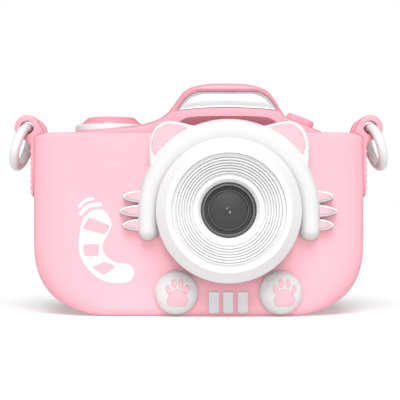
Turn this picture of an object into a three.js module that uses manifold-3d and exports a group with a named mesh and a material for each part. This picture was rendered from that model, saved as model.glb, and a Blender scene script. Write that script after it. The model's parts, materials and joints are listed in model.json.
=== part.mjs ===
// Kids digital camera in a soft cat-eared sleeve.
// Millimetres, +Z up. The lens looks along -Y and +X is to the right of someone facing the lens.
// The origin is on the ground, in the middle of the camera along X and Y.

import * as THREE from 'three';
import { mergeVertices } from 'three/addons/utils/BufferGeometryUtils.js';
import Module from 'manifold-3d';

const wasm = await Module();
wasm.setup();

// ---------------------------------------------------------------- driving dimensions

const GAP = 0.3; // clearance between pieces that touch
const WELD = 1e-4;
const OVERLAP = 0.5; // how far joined pieces run into each other
const RIGHT_ANGLE = Math.PI / 2;

// Places well outside the camera, or well inside its walls, for cutters that only need to reach that far.
const BESIDE = 60;
const BEFORE = -30;
const BEHIND = 30;
const BENEATH = -5;
const OPEN_TOP = 90;
const BACK_WALL_FRONT = 15;
const SIDE_WALL_INSIDE = 40;

// Silicone sleeve: an upright rounded block, open at the top and at the back.
const SLEEVE = {
  halfWidth: 49.1, bottom: 0, top: 53.9, front: -10, back: 22,
  cornerX: 24, cornerZ: 22, topCornerX: 4, topCornerZ: 2,
  frontRound: { side: 14, sideDepth: 8, bottom: 3, top: 0.9, edgeDepth: 2.3 },
  backRound: { side: 7, sideDepth: 6, bottom: 5, top: 1, edgeDepth: 6 },
};
const SLEEVE_WALL = 2.2;
const FULL_CORNER = 0.8; // the power that fills out the sleeve's bottom corners; 1 is an ellipse
const BACK_WINDOW = { halfWidth: 41, bottom: 6, radius: 5 };

// Hard camera body inside the sleeve.
const SHELL_WALL = 1.8;
const SHELL_TOP = 50.9;
const SHELL_SPLIT = 6; // front and rear shells meet at this depth
const PLATEAU = { halfWidth: 40.6, bottom: 6.4, top: 50.9, radius: 4.6, face: 21.4, wall: 1.8 };

// Lens stack, on one axis along Y.
const LENS = { x: 8.6, z: 31.1, front: -23 };
const BEZEL = { radius: 20.8, flatRadius: 17.8, chamferDepth: 3, back: -7.5, cone: 0.8 };
const TERRACES = { radii: [16, 14, 12, 10.2], step: 1 };
const BARREL = { radius: 7.8, bore: 6, front: -17.4, back: -5.4, seat: -15, rim: 0.4, face: 0.5 };
const RETAINER = { width: 0.5, thickness: 0.7 };
const GLASS_RADIUS = 4.9;
const GLASS_THICKNESS = 0.6;
const MODULE = { half: 6, back: 2 };

// Cat face: a half ring over the lens that ends in two straight arms, with ears and whiskers.
const FACE = { outer: 26.25, inner: 21.3, thickness: 4.7, round: 1.2, armEnd: 22.2, armWidth: 6 };
const EAR = {
  thickness: 3.4, pocket: 1, inlayArc: 26.6,
  outline: [
    [-16.2, 38], [-14.2, 44.1], [-14.3, 49.4], [-13.7, 52.7], [-12, 55.4], [-9, 56.8], [-5.35, 56.4],
    [0, 55.2],
  ],
  inlay: [
    [-12.6, 46.7], [-13.2, 49.4], [-12.7, 52.4], [-11.4, 54.6], [-8.9, 55.8], [-6, 55.5], [-3.6, 54.8],
  ],
};
const WHISKER = {
  base: -16.4, reach: [5.4, 6.4, 5.4], heights: [35, 30.8, 26.8],
  half: 1.65, thickness: 2.4, border: 0.55, bow: 0.62,
  pocket: { start: 1.6, shorter: 2.1, depth: 0.8 },
  inlay: { start: 1.9, shorter: 2.8, depth: 0.5, proud: 0.1 },
};

// Paws and bib on the lower front.
const PAW = { xs: [-6.5, 23.9], z: 7.05, radius: 6.4, proud: 3.7 };
const PAW_WEB = { dx: 0.4, radius: 4.2, depth: 1.6, thickness: 0.5 }; // joins one paw's pads behind its dome
const PAW_PAD = { dx: 0.5, dz: -1.25, halfWidth: 2.95, halfHeight: 2.3 };
const PAW_TOES = [[-2.3, 1.1], [-0.75, 2.65], [1.35, 2.65], [3, 1.2]];
const TOE = { halfWidth: 0.66, halfHeight: 1.15 };
const BARS = { xs: [4.45, 8.6, 12.9], width: 2.95, bottom: 1, top: 7.16, radius: 0.6, proud: 0.5 };

// Top cover with the flash hump, seen from the front: left end, hump, sloped right shoulder.
const COVER = { halfWidth: 46.6, bottom: 51.2, front: -7.5, back: 19.5, wall: 2, hollowFront: -1 };
const COVER_OUTLINE = [
  [-46.6, 53], [-37, 53.5], [-36.2, 54.3], [-20, 55.9], [-14.4, 57], [-10.1, 59.1], [-7.6, 61.85],
  [-4.9, 65.7], [-3.5, 66.8], [-1.7, 67.6], [2.6, 68.4], [8.7, 68.6], [14.4, 68.3], [17.8, 67.5],
  [19.8, 66.75], [21.2, 65.7], [23, 62.9], [25.4, 59.1], [36.4, 54.3], [37.4, 53.5], [46.6, 53],
];
const COVER_HOLLOW = [
  [-40, 50], [-40, 52.4], [-7, 52.6], [-3.4, 63.6], [0, 66.4], [16.8, 66.4], [19.6, 64], [23.4, 57.4],
  [24, 52.4], [24, 50],
];
const COVER_UNDERCUT = [[-9, 58.9], [-7.4, 58.9], [-3, 54], [-3, 53.2], [-9, 53.2]]; // in Y and Z
const FLASH = { x: 8.5, halfWidth: 14.6, top: 65.9, corner: 60.4, middle: 61.3, face: -7, thickness: 1.2 };
const FLASH_CURVE = { pull: 2.2, run: 6.4 }; // how far the window's round ends reach in along its top edge
const FLASH_ROOM = [[-2, 60.4], [-1.6, 64.6], [1, 66.4], [16, 66.4], [18.6, 64.6], [19, 60.4]];
const FLASH_ROOM_FRONT = -5.4;
const FLASH_BOARD = { x0: 0, x1: 17, z0: 61.5, z1: 65.4, front: -3.9, thickness: 1.2 };
const FLASH_LAMP = { x0: 6.5, x1: 10.5, z0: 62.2, z1: 64.8, proud: 0.9 };

// Shutter release, at the left seen from the front.
const SHUTTER = { x: -26.6, y: 6, plateRadius: 11, plateTop: 56.8, floor: 54.1, wellRadius: 9.45, edge: 0.6 };
const SHUTTER_BUTTON = {
  skirt: 9, top: 7.05, skirtBottom: 55.5, skirtTop: 57.2, height: 58.95, stem: 1.8, stemEnd: 52.5,
};

// Mode dial on the sloped right shoulder.
const DIAL = {
  x: 30.5, y: 6, z: 57.3, tilt: THREE.MathUtils.degToRad(22),
  radius: 4.3, thickness: 1.9, shaft: 1.3, reach: 3.5,
};
const DIAL_TEETH = 20;
const DIAL_GROOVE = 0.25;

// Strap brackets and rings at both sides.
const LUG = { x: 51.6, z: 55.8, radius: 3.8, hole: 2.2, front: 0.6, back: 4.2 };
const LUG_NECK = [[50.4, 49.5], [52.2, 52.4], [53.2, 55.8], [48.6, 55.8], [48.3, 54.2]];
const LUG_BUTTRESS = {
  depth: 3.8, points: [[45.3, 54.2], [49.7, 54.2], [49.7, 58.7], [47.6, 57.9], [46, 56.2]],
};
const STRIP = {
  inner: 49.4, outer: 50, tip: 0.35, bottom: 34.9, top: 49.5, front: -2, back: 8, ridges: 8,
  end: 51.5, foot: 48, taper: 0.3,
};
const RING = {
  radius: 6.05, wire: 1.4, tilt: THREE.MathUtils.degToRad(16), yaw: THREE.MathUtils.degToRad(9),
};

// Back of the camera: screen and keys.
const SCREEN = {
  x: 11, z: 29, halfWidth: 23, halfHeight: 18, radius: 2.5, rebate: 1.3, sunk: 0.1, viewX: 20.8, viewZ: 15.8,
};
const PAD = { x: -26, z: 27, outer: 10.2, inner: 4.3, okRadius: 3.3, sweep: THREE.MathUtils.degToRad(78) };
const SMALL_KEYS = { key_menu: [-32, 43.6], key_play: [-20, 43.6], power_button: [-26, 12] };
const SMALL_KEY = { radius: 2.5, flange: 3.2 };
const KEY_FACE = 23;
const PAD_FACE = 22.6;
const KEY_FOOT = 18.6;

// Electronics.
const SCREWS = [[-37.3, 10.4], [37.3, 10.4], [-37.3, 47.6], [37.3, 47.6]];
const SCREW = { head: 1.9, headTop: 20.6, headBottom: 19.2, shank: 0.9, tip: -0.5, boss: 2.6, slack: 1 };
const SPEAKER = { x: -4, z: 11.2, radius: 5, front: 11, back: 14.7, holesZ: 9, hole: 0.5, pitch: 2.2 };
const USB = {
  inside: 38.6, outside: 46.4, front: 11, back: 14.2, bottom: 24, top: 33, wall: 0.35, floor: 1.5,
};
const CARD = { inside: -31.7, outside: -47.7, front: 11.75, back: 12.65, bottom: 24, top: 35, corner: 1.5 };
const CAGE = { mouth: -46.3, wall: 0.4, floor: 1.1 };

// Room round the charging port and the card where they pass through the sleeve and the shell.
const SLEEVE_PORTS = { usb: { y: 0.35, z: 0.5 }, card: { y: 1.4, z: 0.8 } };
const SHELL_PORTS = { usb: { y: GAP, z: GAP }, card: { y: 1.05, z: 1.3 } };

// Plain blocks inside the body: X, Y and Z from and to.
const MAIN_BOARD = [-43.5, 43.5, 9.4, 10.7, 17.5, 43.5];
const BATTERY = [-41, -8, 0, 5.4, 15, 42];
const LCD_PANEL = [-11, 33, 17.2, 19.3, 12, 46];
const KEY_MEMBRANE = [-34.4, -13, 17, 17.6, 9.2, 46.5];
const SHUTTER_BOARD = { x0: -34.5, x1: -12, y0: -1, y1: 12, z0: 45.6, z1: 46.6 };
const SHUTTER_SWITCH = { half: 3, top: 51 };

// ---------------------------------------------------------------- materials

const finish = (color, roughness, metalness = 0) => ({ color, roughness, metalness });
const SILICONE_PINK = finish(0xffc1ce, 0.62);
const SHELL_PINK = finish(0xffb6c6, 0.42);
const BUTTON_PINK = finish(0xffb0c0, 0.4);
const DIAL_PINK = finish(0xff9dbb, 0.4);
const WHITE = finish(0xf8f7f6, 0.42);
const DIFFUSER = finish(0xefefef, 0.3);
const BLACK = finish(0x3a3a3a, 0.45);
const GLASS = finish(0x4c4c4e, 0.12);
const METAL = finish(0xb8babd, 0.3, 1);
const BOARD = finish(0x1f5b3a, 0.55);
const DARK = finish(0x26272b, 0.5);
const FOIL = finish(0x9aa1a8, 0.45);

// ---------------------------------------------------------------- solid modelling

// Welds a geometry into one closed surface with its faces outwards, as a solid for joining and cutting.
function solid(geometry) {
  geometry.deleteAttribute('normal');
  geometry.deleteAttribute('uv');
  const welded = mergeVertices(geometry, WELD);
  const corner = (index) => new THREE.Vector3().fromBufferAttribute(welded.attributes.position, index);
  const faces = [];
  let volume = 0;
  for (let i = 0; i < welded.index.count; i += 3) {
    const face = [0, 1, 2].map((k) => welded.index.getX(i + k));
    if (new Set(face).size === 3) {
      faces.push(face);
      volume += corner(face[0]).dot(corner(face[1]).cross(corner(face[2])));
    }
  }
  if (volume < 0) faces.forEach((face) => face.reverse());
  return new wasm.Manifold(new wasm.Mesh({
    numProp: 3,
    vertProperties: Float32Array.from(welded.attributes.position.array),
    triVerts: Uint32Array.from(faces.flat()),
  }));
}

const join = (first, ...others) => others.reduce((result, other) => result.add(other), first);
const cut = (first, ...others) => others.reduce((result, other) => result.subtract(other), first);

function geometryOf(shape) {
  const { vertProperties, triVerts } = shape.getMesh();
  const geometry = new THREE.BufferGeometry();
  geometry.setAttribute('position', new THREE.BufferAttribute(vertProperties, 3));
  geometry.setIndex(new THREE.BufferAttribute(triVerts, 1));
  geometry.computeVertexNormals();
  return geometry;
}

function block(x0, x1, y0, y1, z0, z1) {
  const geometry = new THREE.BoxGeometry(x1 - x0, y1 - y0, z1 - z0);
  geometry.translate((x0 + x1) / 2, (y0 + y1) / 2, (z0 + z1) / 2);
  return solid(geometry);
}

// A slab with its outline in X and Z, from y0 back to y1. A round edge goes on its front and back.
function slab(shape, y0, y1, { round = 0, curveSegments = 6 } = {}) {
  const geometry = new THREE.ExtrudeGeometry(shape, {
    depth: y1 - y0 - 2 * round, curveSegments,
    bevelEnabled: round > 0, bevelThickness: round, bevelSize: round, bevelOffset: -round, bevelSegments: 1,
  });
  geometry.rotateX(RIGHT_ANGLE);
  geometry.translate(0, y1 - round, 0);
  return solid(geometry);
}

function prismX(points, x0, x1) {
  const geometry = new THREE.ExtrudeGeometry(outline(points), { depth: x1 - x0, bevelEnabled: false });
  geometry.applyMatrix4(new THREE.Matrix4().makeBasis(
    new THREE.Vector3(0, 1, 0), new THREE.Vector3(0, 0, 1), new THREE.Vector3(1, 0, 0),
  ));
  geometry.translate(x0, 0, 0);
  return solid(geometry);
}

function outline(points) {
  return new THREE.Shape(points.map(([x, z]) => new THREE.Vector2(x, z)));
}

const mirrored = (points, axis) => points.map(([x, z]) => [2 * axis - x, z]).reverse();

function roundedRect(x0, x1, z0, z1, radius) {
  const shape = new THREE.Shape();
  shape.absarc(x1 - radius, z1 - radius, radius, 0, RIGHT_ANGLE);
  shape.absarc(x0 + radius, z1 - radius, radius, RIGHT_ANGLE, 2 * RIGHT_ANGLE);
  shape.absarc(x0 + radius, z0 + radius, radius, 2 * RIGHT_ANGLE, 3 * RIGHT_ANGLE);
  shape.absarc(x1 - radius, z0 + radius, radius, 3 * RIGHT_ANGLE, 4 * RIGHT_ANGLE);
  return shape;
}

// A round bar along Y whose radius runs from r0 at y0 to r1 at y1.
function barY(x, z, r0, y0, y1, segments, r1 = r0) {
  const geometry = new THREE.CylinderGeometry(r1, r0, y1 - y0, segments);
  geometry.translate(x, (y0 + y1) / 2, z);
  return solid(geometry);
}

function barZ(x, y, r0, z0, z1, segments, r1 = r0) {
  const geometry = new THREE.CylinderGeometry(r1, r0, z1 - z0, segments);
  geometry.rotateX(RIGHT_ANGLE);
  geometry.translate(x, y, (z0 + z1) / 2);
  return solid(geometry);
}

// A turned piece about a Y axis through (x, z); the profile lists radius and depth.
function turned(profile, x, z, segments) {
  const geometry = new THREE.LatheGeometry(profile.map(([r, y]) => new THREE.Vector2(r, y)), segments);
  geometry.translate(x, 0, z);
  return solid(geometry);
}

function ellipse(x, z, halfWidth, halfHeight, segments, y0, y1) {
  const shape = new THREE.Shape().absellipse(x, z, halfWidth, halfHeight, 0, 2 * Math.PI);
  return slab(shape, y0, y1, { curveSegments: segments });
}

// ---------------------------------------------------------------- the rounded block

// The block's outline at one depth, drawn in by the given insets, anticlockwise from the top right corner.
function blockOutline(size, sideInset, bottomInset, topInset) {
  const halfWidth = size.halfWidth - sideInset;
  const top = size.top - topInset;
  const bottom = size.bottom + bottomInset;
  const cornerX = size.cornerX - sideInset;
  const cornerZ = size.cornerZ - bottomInset;
  const topX = Math.max(size.topCornerX - sideInset / 4, 0.5);
  const topZ = Math.max(size.topCornerZ - topInset, 0.5);
  const points = [];
  const full = (value, power) => Math.sign(value) * Math.abs(value) ** power;
  const arc = (cx, cz, rx, rz, start, steps, power = 1) => {
    for (let i = 0; i <= steps; i += 1) {
      const angle = start + (i / steps) * RIGHT_ANGLE;
      points.push([cx + rx * full(Math.cos(angle), power), cz + rz * full(Math.sin(angle), power)]);
    }
  };
  arc(halfWidth - topX, top - topZ, topX, topZ, 0, 2);
  arc(topX - halfWidth, top - topZ, topX, topZ, RIGHT_ANGLE, 2);
  arc(cornerX - halfWidth, bottom + cornerZ, cornerX, cornerZ, 2 * RIGHT_ANGLE, 6, FULL_CORNER);
  arc(halfWidth - cornerX, bottom + cornerZ, cornerX, cornerZ, 3 * RIGHT_ANGLE, 6, FULL_CORNER);
  return points;
}

// How far a rounded edge is drawn in at a distance behind its face: a quarter ellipse, gone at its depth.
function drawnIn(round, depth, distance) {
  const left = Math.max(1 - distance / depth, 0);
  return round * (1 - Math.sqrt(1 - left * left));
}

// The rounded block as one solid: outlines along Y, drawn in towards the front and back faces.
function roundedBlock(size) {
  const steps = 4;
  const stations = [];
  const add = (face, direction, round, step) => {
    const distance = round.sideDepth * (1 - Math.cos((step / steps) * RIGHT_ANGLE));
    stations.push({
      y: face + direction * distance,
      points: blockOutline(
        size,
        drawnIn(round.side, round.sideDepth, distance),
        drawnIn(round.bottom, round.edgeDepth, distance),
        drawnIn(round.top, round.edgeDepth, distance),
      ),
    });
  };
  for (let i = 0; i <= steps; i += 1) add(size.front, 1, size.frontRound, i);
  for (let i = steps; i >= 0; i -= 1) add(size.back, -1, size.backRound, i);
  return loft(stations);
}

// Skins a run of outlines with equal point counts, and closes both ends from their middles.
function loft(stations) {
  const count = stations[0].points.length;
  const positions = stations.flatMap(({ y, points }) => points.flatMap(([x, z]) => [x, y, z]));
  const index = [];
  for (let s = 0; s + 1 < stations.length; s += 1) {
    for (let i = 0; i < count; i += 1) {
      const a = s * count + i;
      const b = s * count + ((i + 1) % count);
      index.push(a, b, a + count, b, b + count, a + count);
    }
  }
  [0, stations.length - 1].forEach((s) => {
    const { y, points } = stations[s];
    const middle = positions.length / 3;
    const mean = (axis) => points.reduce((sum, point) => sum + point[axis], 0) / count;
    positions.push(mean(0), y, mean(1));
    for (let i = 0; i < count; i += 1) {
      const edge = [s * count + i, s * count + ((i + 1) % count)];
      index.push(middle, ...(s === 0 ? edge.reverse() : edge));
    }
  });
  const geometry = new THREE.BufferGeometry();
  geometry.setAttribute('position', new THREE.Float32BufferAttribute(positions, 3));
  geometry.setIndex(index);
  return solid(geometry);
}

// The sleeve's block grown (positive) or shrunk (negative) by one distance all round.
function grown(distance, top = SLEEVE.top + distance) {
  return roundedBlock({
    ...SLEEVE, top,
    halfWidth: SLEEVE.halfWidth + distance,
    bottom: SLEEVE.bottom - distance,
    front: SLEEVE.front - distance,
    back: SLEEVE.back + distance,
    cornerX: SLEEVE.cornerX + distance,
    cornerZ: SLEEVE.cornerZ + distance,
  });
}

// ---------------------------------------------------------------- sleeve and body shells

const lensHole = (radius) => barY(LENS.x, LENS.z, radius, BEFORE, BEHIND, 36);

// Cutters through the side walls for the charging port and the memory card.
function sidePorts(room) {
  const port = (side, { front, back, bottom, top }, { y, z }) => (
    block(...side, front - y, back + y, bottom - z, top + z)
  );
  return [
    port([SIDE_WALL_INSIDE, BESIDE], USB, room.usb),
    port([-BESIDE, -SIDE_WALL_INSIDE], CARD, room.card),
  ];
}

function siliconeCase() {
  const { halfWidth, bottom, radius } = BACK_WINDOW;
  return cut(
    grown(0),
    grown(-SLEEVE_WALL, OPEN_TOP),
    slab(roundedRect(-halfWidth, halfWidth, bottom, OPEN_TOP, radius), BACK_WALL_FRONT, BEHIND),
    lensHole(BEZEL.radius + GAP),
    ...sidePorts(SLEEVE_PORTS),
  );
}

const bodyInset = -(SLEEVE_WALL + GAP);
const inFront = block(-BESIDE, BESIDE, BEFORE, SHELL_SPLIT - GAP / 2, BENEATH, SHELL_TOP);
const behind = block(-BESIDE, BESIDE, SHELL_SPLIT + GAP / 2, BEHIND, BENEATH, SHELL_TOP);

function shellHalf(half) {
  return cut(grown(bodyInset, OPEN_TOP), grown(bodyInset - SHELL_WALL, OPEN_TOP)).intersect(half);
}

function frontShell() {
  const floor = SLEEVE.front - bodyInset;
  const bosses = SCREWS.map(([x, z]) => (
    barY(x, z, SCREW.boss, floor + SHELL_WALL / 2, SHELL_SPLIT - GAP / 2, 12)
  ));
  const walled = join(shellHalf(inFront), ...bosses).intersect(grown(bodyInset, OPEN_TOP));
  const holes = SCREWS.map(([x, z]) => barY(x, z, SCREW.shank + GAP, SCREW.tip - SCREW.slack, BEHIND, 8));
  return cut(walled, lensHole(BARREL.radius + GAP), ...holes);
}

function rearShell() {
  const { halfWidth, bottom, top, radius, face, wall } = PLATEAU;
  const outer = slab(roundedRect(-halfWidth, halfWidth, bottom, top, radius), BACK_WALL_FRONT, face);
  const room = roundedRect(wall - halfWidth, halfWidth - wall, bottom + wall, OPEN_TOP, radius - wall);
  const tray = cut(join(shellHalf(behind), outer), slab(room, BACK_WALL_FRONT - wall, face - wall));
  const bosses = SCREWS.map(([x, z]) => barY(x, z, SCREW.boss, SHELL_SPLIT + GAP / 2, face - wall, 12));
  const shanks = SCREWS.map(([x, z]) => barY(x, z, SCREW.shank + GAP, 0, BEHIND, 8));
  const heads = SCREWS.map(([x, z]) => barY(x, z, SCREW.head + GAP, SCREW.headBottom - GAP, BEHIND, 12));
  const keyHoles = Object.values(SMALL_KEYS).map(([x, z]) => (
    barY(x, z, SMALL_KEY.radius + GAP, BACK_WALL_FRONT, BEHIND, 16)
  ));
  return cut(
    join(tray, ...bosses),
    ...shanks, ...heads, ...keyHoles,
    barY(PAD.x, PAD.z, PAD.outer + GAP, BACK_WALL_FRONT, BEHIND, 32),
    ...screenOpening(),
    ...sidePorts(SHELL_PORTS),
    ...speakerHoles(),
  );
}

// The rebate that the window sits in, and the opening behind it.
function screenOpening() {
  const { x, z, halfWidth, halfHeight, radius, rebate, viewX, viewZ } = SCREEN;
  const width = halfWidth + GAP;
  const height = halfHeight + GAP;
  return [
    slab(roundedRect(x - width, x + width, z - height, z + height, radius), PLATEAU.face - rebate, BEHIND),
    block(x - viewX, x + viewX, BACK_WALL_FRONT, BEHIND, z - viewZ, z + viewZ),
  ];
}

// A flattened hexagon of sound holes and one in its middle, low on the back.
function speakerHoles() {
  const { x, holesZ, hole, pitch } = SPEAKER;
  const soundHole = (dx, dz) => barY(x + dx, holesZ + dz, hole, BACK_WALL_FRONT, BEHIND, 6);
  const holes = [soundHole(0, 0)];
  for (let i = 0; i < 6; i += 1) {
    const angle = (i * Math.PI) / 3;
    holes.push(soundHole(pitch * Math.cos(angle), (pitch / 2) * Math.sin(angle)));
  }
  return holes;
}

// ---------------------------------------------------------------- top cover, flash, shutter, dial

function flashOutline(grow) {
  const shape = new THREE.Shape();
  const left = FLASH.x - FLASH.halfWidth - grow;
  const right = FLASH.x + FLASH.halfWidth + grow;
  const bottom = FLASH.corner - grow;
  const top = FLASH.top + grow;
  shape.moveTo(left, bottom);
  shape.quadraticCurveTo(FLASH.x, 2 * FLASH.middle - FLASH.corner - grow, right, bottom);
  shape.quadraticCurveTo(right - FLASH_CURVE.pull, top, right - FLASH_CURVE.run, top);
  shape.lineTo(left + FLASH_CURVE.run, top);
  shape.quadraticCurveTo(left + FLASH_CURVE.pull, top, left, bottom);
  return shape;
}

function topCover() {
  const { halfWidth, bottom, front, back, wall, hollowFront } = COVER;
  const { x, y, plateRadius, floor } = SHUTTER;
  const whole = slab(outline([...COVER_OUTLINE, [halfWidth, bottom], [-halfWidth, bottom]]), front, back);
  return cut(
    whole.intersect(grown(bodyInset, OPEN_TOP)),
    prismX(COVER_UNDERCUT, -BESIDE, BESIDE),
    slab(outline(COVER_HOLLOW), hollowFront, back - wall),
    slab(outline(FLASH_ROOM), FLASH_ROOM_FRONT, 0),
    slab(flashOutline(GAP), BEFORE, FLASH_BOARD.front),
    barZ(x, y, plateRadius + GAP, floor, OPEN_TOP, 32),
    barZ(x, y, SHUTTER_BUTTON.stem + GAP, SHUTTER_SWITCH.top, OPEN_TOP, 12),
    dialShape(DIAL.shaft + GAP + DIAL_GROOVE, DIAL.shaft + GAP, DIAL.reach + GAP),
  );
}

function shutterPlate() {
  const { x, y, plateRadius, wellRadius, floor, plateTop, edge } = SHUTTER;
  const rim = join(
    barZ(x, y, plateRadius, floor + GAP, plateTop - edge, 32),
    barZ(x, y, plateRadius, plateTop - edge, plateTop, 32, plateRadius - edge),
  );
  return cut(rim, barZ(x, y, wellRadius, 0, OPEN_TOP, 32));
}

function shutterButton() {
  const { x, y } = SHUTTER;
  const { skirt, top, skirtBottom, skirtTop, height, stem, stemEnd } = SHUTTER_BUTTON;
  return join(
    barZ(x, y, skirt, skirtBottom, skirtTop, 32),
    barZ(x, y, skirt, skirtTop, height, 32, top),
    barZ(x, y, stem, stemEnd, skirtBottom + OVERLAP, 12),
  );
}

// The dial's disc and shaft, standing on the sloped shoulder.
function dialShape(radius, shaft, reach) {
  const disc = new THREE.Shape();
  const steps = 2 * DIAL_TEETH;
  for (let i = 0; i < steps; i += 1) {
    const angle = (i / steps) * 2 * Math.PI;
    const edge = radius - (i % 2) * DIAL_GROOVE;
    disc[i === 0 ? 'moveTo' : 'lineTo'](edge * Math.cos(angle), edge * Math.sin(angle));
  }
  const cap = new THREE.ExtrudeGeometry(disc, { depth: DIAL.thickness, bevelEnabled: false });
  const post = new THREE.CylinderGeometry(shaft, shaft, reach + OVERLAP, 12);
  post.rotateX(RIGHT_ANGLE);
  post.translate(0, 0, (OVERLAP - reach) / 2);
  const parts = [cap, post].map((geometry) => {
    geometry.rotateY(DIAL.tilt);
    geometry.translate(DIAL.x, DIAL.y, DIAL.z);
    return solid(geometry);
  });
  return join(...parts);
}

function flashBoard() {
  const { x0, x1, z0, z1, front, thickness } = FLASH_BOARD;
  const { proud, ...lamp } = FLASH_LAMP;
  return join(
    block(x0, x1, front, front + thickness, z0, z1),
    block(lamp.x0, lamp.x1, front - proud, front + OVERLAP, lamp.z0, lamp.z1),
  );
}

// ---------------------------------------------------------------- lens

function lensBezel() {
  const { radius, flatRadius, chamferDepth, cone } = BEZEL;
  const back = BEZEL.back - GAP;
  const bore = BARREL.radius + GAP;
  const profile = [
    [bore, back], [radius, back], [radius, LENS.front + chamferDepth], [flatRadius, LENS.front],
  ];
  let depth = LENS.front;
  TERRACES.radii.forEach((r) => {
    profile.push([r, depth], [r, depth + TERRACES.step]);
    depth += TERRACES.step;
  });
  profile.push([bore + cone, depth], [bore, depth + cone], [bore, back]);
  return turned(profile, LENS.x, LENS.z, 36);
}

function lensBarrel() {
  const { radius, bore, front, back, seat, rim, face } = BARREL;
  const glassHole = GLASS_RADIUS - 1;
  const profile = [
    [glassHole, back], [radius, back], [radius, front + rim], [radius - rim, front],
    [radius - rim - face, front], [bore, front + 2 * rim], [bore, seat], [glassHole, seat], [glassHole, back],
  ];
  return turned(profile, LENS.x, LENS.z, 32);
}

function lensRing() {
  const outer = BARREL.bore - GAP;
  const inner = outer - RETAINER.width;
  const back = BARREL.seat - GAP;
  const front = back - RETAINER.thickness;
  const profile = [[outer, back], [outer, front], [inner, front], [inner, back], [outer, back]];
  return turned(profile, LENS.x, LENS.z, 32);
}

function lensGlass() {
  const back = BARREL.seat - GAP;
  return barY(LENS.x, LENS.z, GLASS_RADIUS, back - GLASS_THICKNESS, back, 28);
}

// ---------------------------------------------------------------- cat face

function catFace() {
  const { outer, inner, thickness, round, armEnd, armWidth } = FACE;
  const back = SLEEVE.front - GAP;
  const armCentre = outer - armWidth / 2;
  const shape = new THREE.Shape();
  shape.absarc(LENS.x, LENS.z, outer, 0, Math.PI);
  shape.absarc(LENS.x - armCentre, armEnd + armWidth / 2, armWidth / 2, Math.PI, 2 * Math.PI);
  shape.lineTo(LENS.x - armCentre + armWidth / 2, LENS.z);
  shape.absarc(LENS.x, LENS.z, inner, Math.PI, 0, true);
  shape.lineTo(LENS.x + armCentre - armWidth / 2, armEnd + armWidth / 2);
  shape.absarc(LENS.x + armCentre, armEnd + armWidth / 2, armWidth / 2, Math.PI, 2 * Math.PI);
  const ring = cut(slab(shape, back - thickness, back, { round, curveSegments: 14 }), lensHole(inner));
  const ears = [EAR.outline, mirrored(EAR.outline, LENS.x)].map((points) => (
    cut(slab(outline(points), back - EAR.thickness, back), lensHole(outer - 1))
  ));
  const pockets = earInlays(GAP, BEFORE);
  const { pocket } = WHISKER;
  const whiskers = whiskerSpots().map(([x, z, way, reach]) => (
    whisker(x, z, way, reach, 0, back - WHISKER.thickness, back)
  ));
  const grooves = whiskerSpots().map(([x, z, way, reach]) => (
    whisker(
      x + way * pocket.start, z, way, reach - pocket.shorter, WHISKER.border - GAP,
      BEFORE, back - WHISKER.thickness + pocket.depth,
    )
  ));
  return cut(join(ring, ...ears, ...whiskers), ...pockets, ...grooves);
}

// The two pink ear inlays, grown by a clearance where they cut their pockets.
function earInlays(grow, front = SLEEVE.front - GAP - EAR.thickness - GAP / 3) {
  const back = SLEEVE.front - GAP - EAR.thickness + EAR.pocket - (grow > 0 ? 0 : GAP);
  const scale = (points) => {
    const cx = points.reduce((sum, [x]) => sum + x, 0) / points.length;
    const cz = points.reduce((sum, [, z]) => sum + z, 0) / points.length;
    return points.map(([x, z]) => {
      const length = Math.hypot(x - cx, z - cz);
      return [x + ((x - cx) / length) * grow, z + ((z - cz) / length) * grow];
    });
  };
  const points = scale(EAR.inlay);
  const below = lensHole(EAR.inlayArc - grow);
  return [points, mirrored(points, LENS.x)].map((side) => cut(slab(outline(side), front, back), below));
}

function whiskerSpots() {
  return WHISKER.heights.flatMap((z, i) => [
    [WHISKER.base, z, -1, WHISKER.reach[i]],
    [2 * LENS.x - WHISKER.base, z, 1, WHISKER.reach[i]],
  ]);
}

// An almond that points away from the lens.
function whisker(x, z, way, reach, border, y0, y1) {
  const half = WHISKER.half - border;
  const bow = x + way * reach * WHISKER.bow;
  const shape = new THREE.Shape();
  shape.moveTo(x, z - half);
  shape.quadraticCurveTo(bow, z - half, x + way * reach, z);
  shape.quadraticCurveTo(bow, z + half, x, z + half);
  shape.closePath();
  return slab(shape, y0, y1, { curveSegments: 3 });
}

function whiskerInlay([x, z, way, reach]) {
  const { start, shorter, depth, proud } = WHISKER.inlay;
  const face = SLEEVE.front - GAP - WHISKER.thickness;
  return whisker(x + way * start, z, way, reach - shorter, WHISKER.border, face - proud, face + depth);
}

// ---------------------------------------------------------------- paws and bib

// One paw's pads as cutters or, drawn in by the clearance, as the pads themselves.
function pawPads(x, z, grow, y0, y1) {
  const { dx, dz, halfWidth, halfHeight } = PAW_PAD;
  const toe = ([tx, tz]) => (
    ellipse(x + tx, z + tz, TOE.halfWidth + grow, TOE.halfHeight + grow, 4, y0, y1)
  );
  return [ellipse(x + dx, z + dz, halfWidth + grow, halfHeight + grow, 7, y0, y1), ...PAW_TOES.map(toe)];
}

function pawDome(x) {
  const { z, radius, proud } = PAW;
  const sphere = (radius * radius + proud * proud) / (2 * proud);
  const apex = SLEEVE.front - GAP - proud;
  const span = Math.asin(radius / sphere);
  const profile = [[0, 0], [radius, 0]];
  for (let i = 4; i >= 0; i -= 1) {
    const angle = (i / 4) * span;
    profile.push([sphere * Math.sin(angle), apex + sphere * (1 - Math.cos(angle))]);
  }
  return turned(profile, x, z, 24).subtract(grown(GAP));
}

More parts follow.
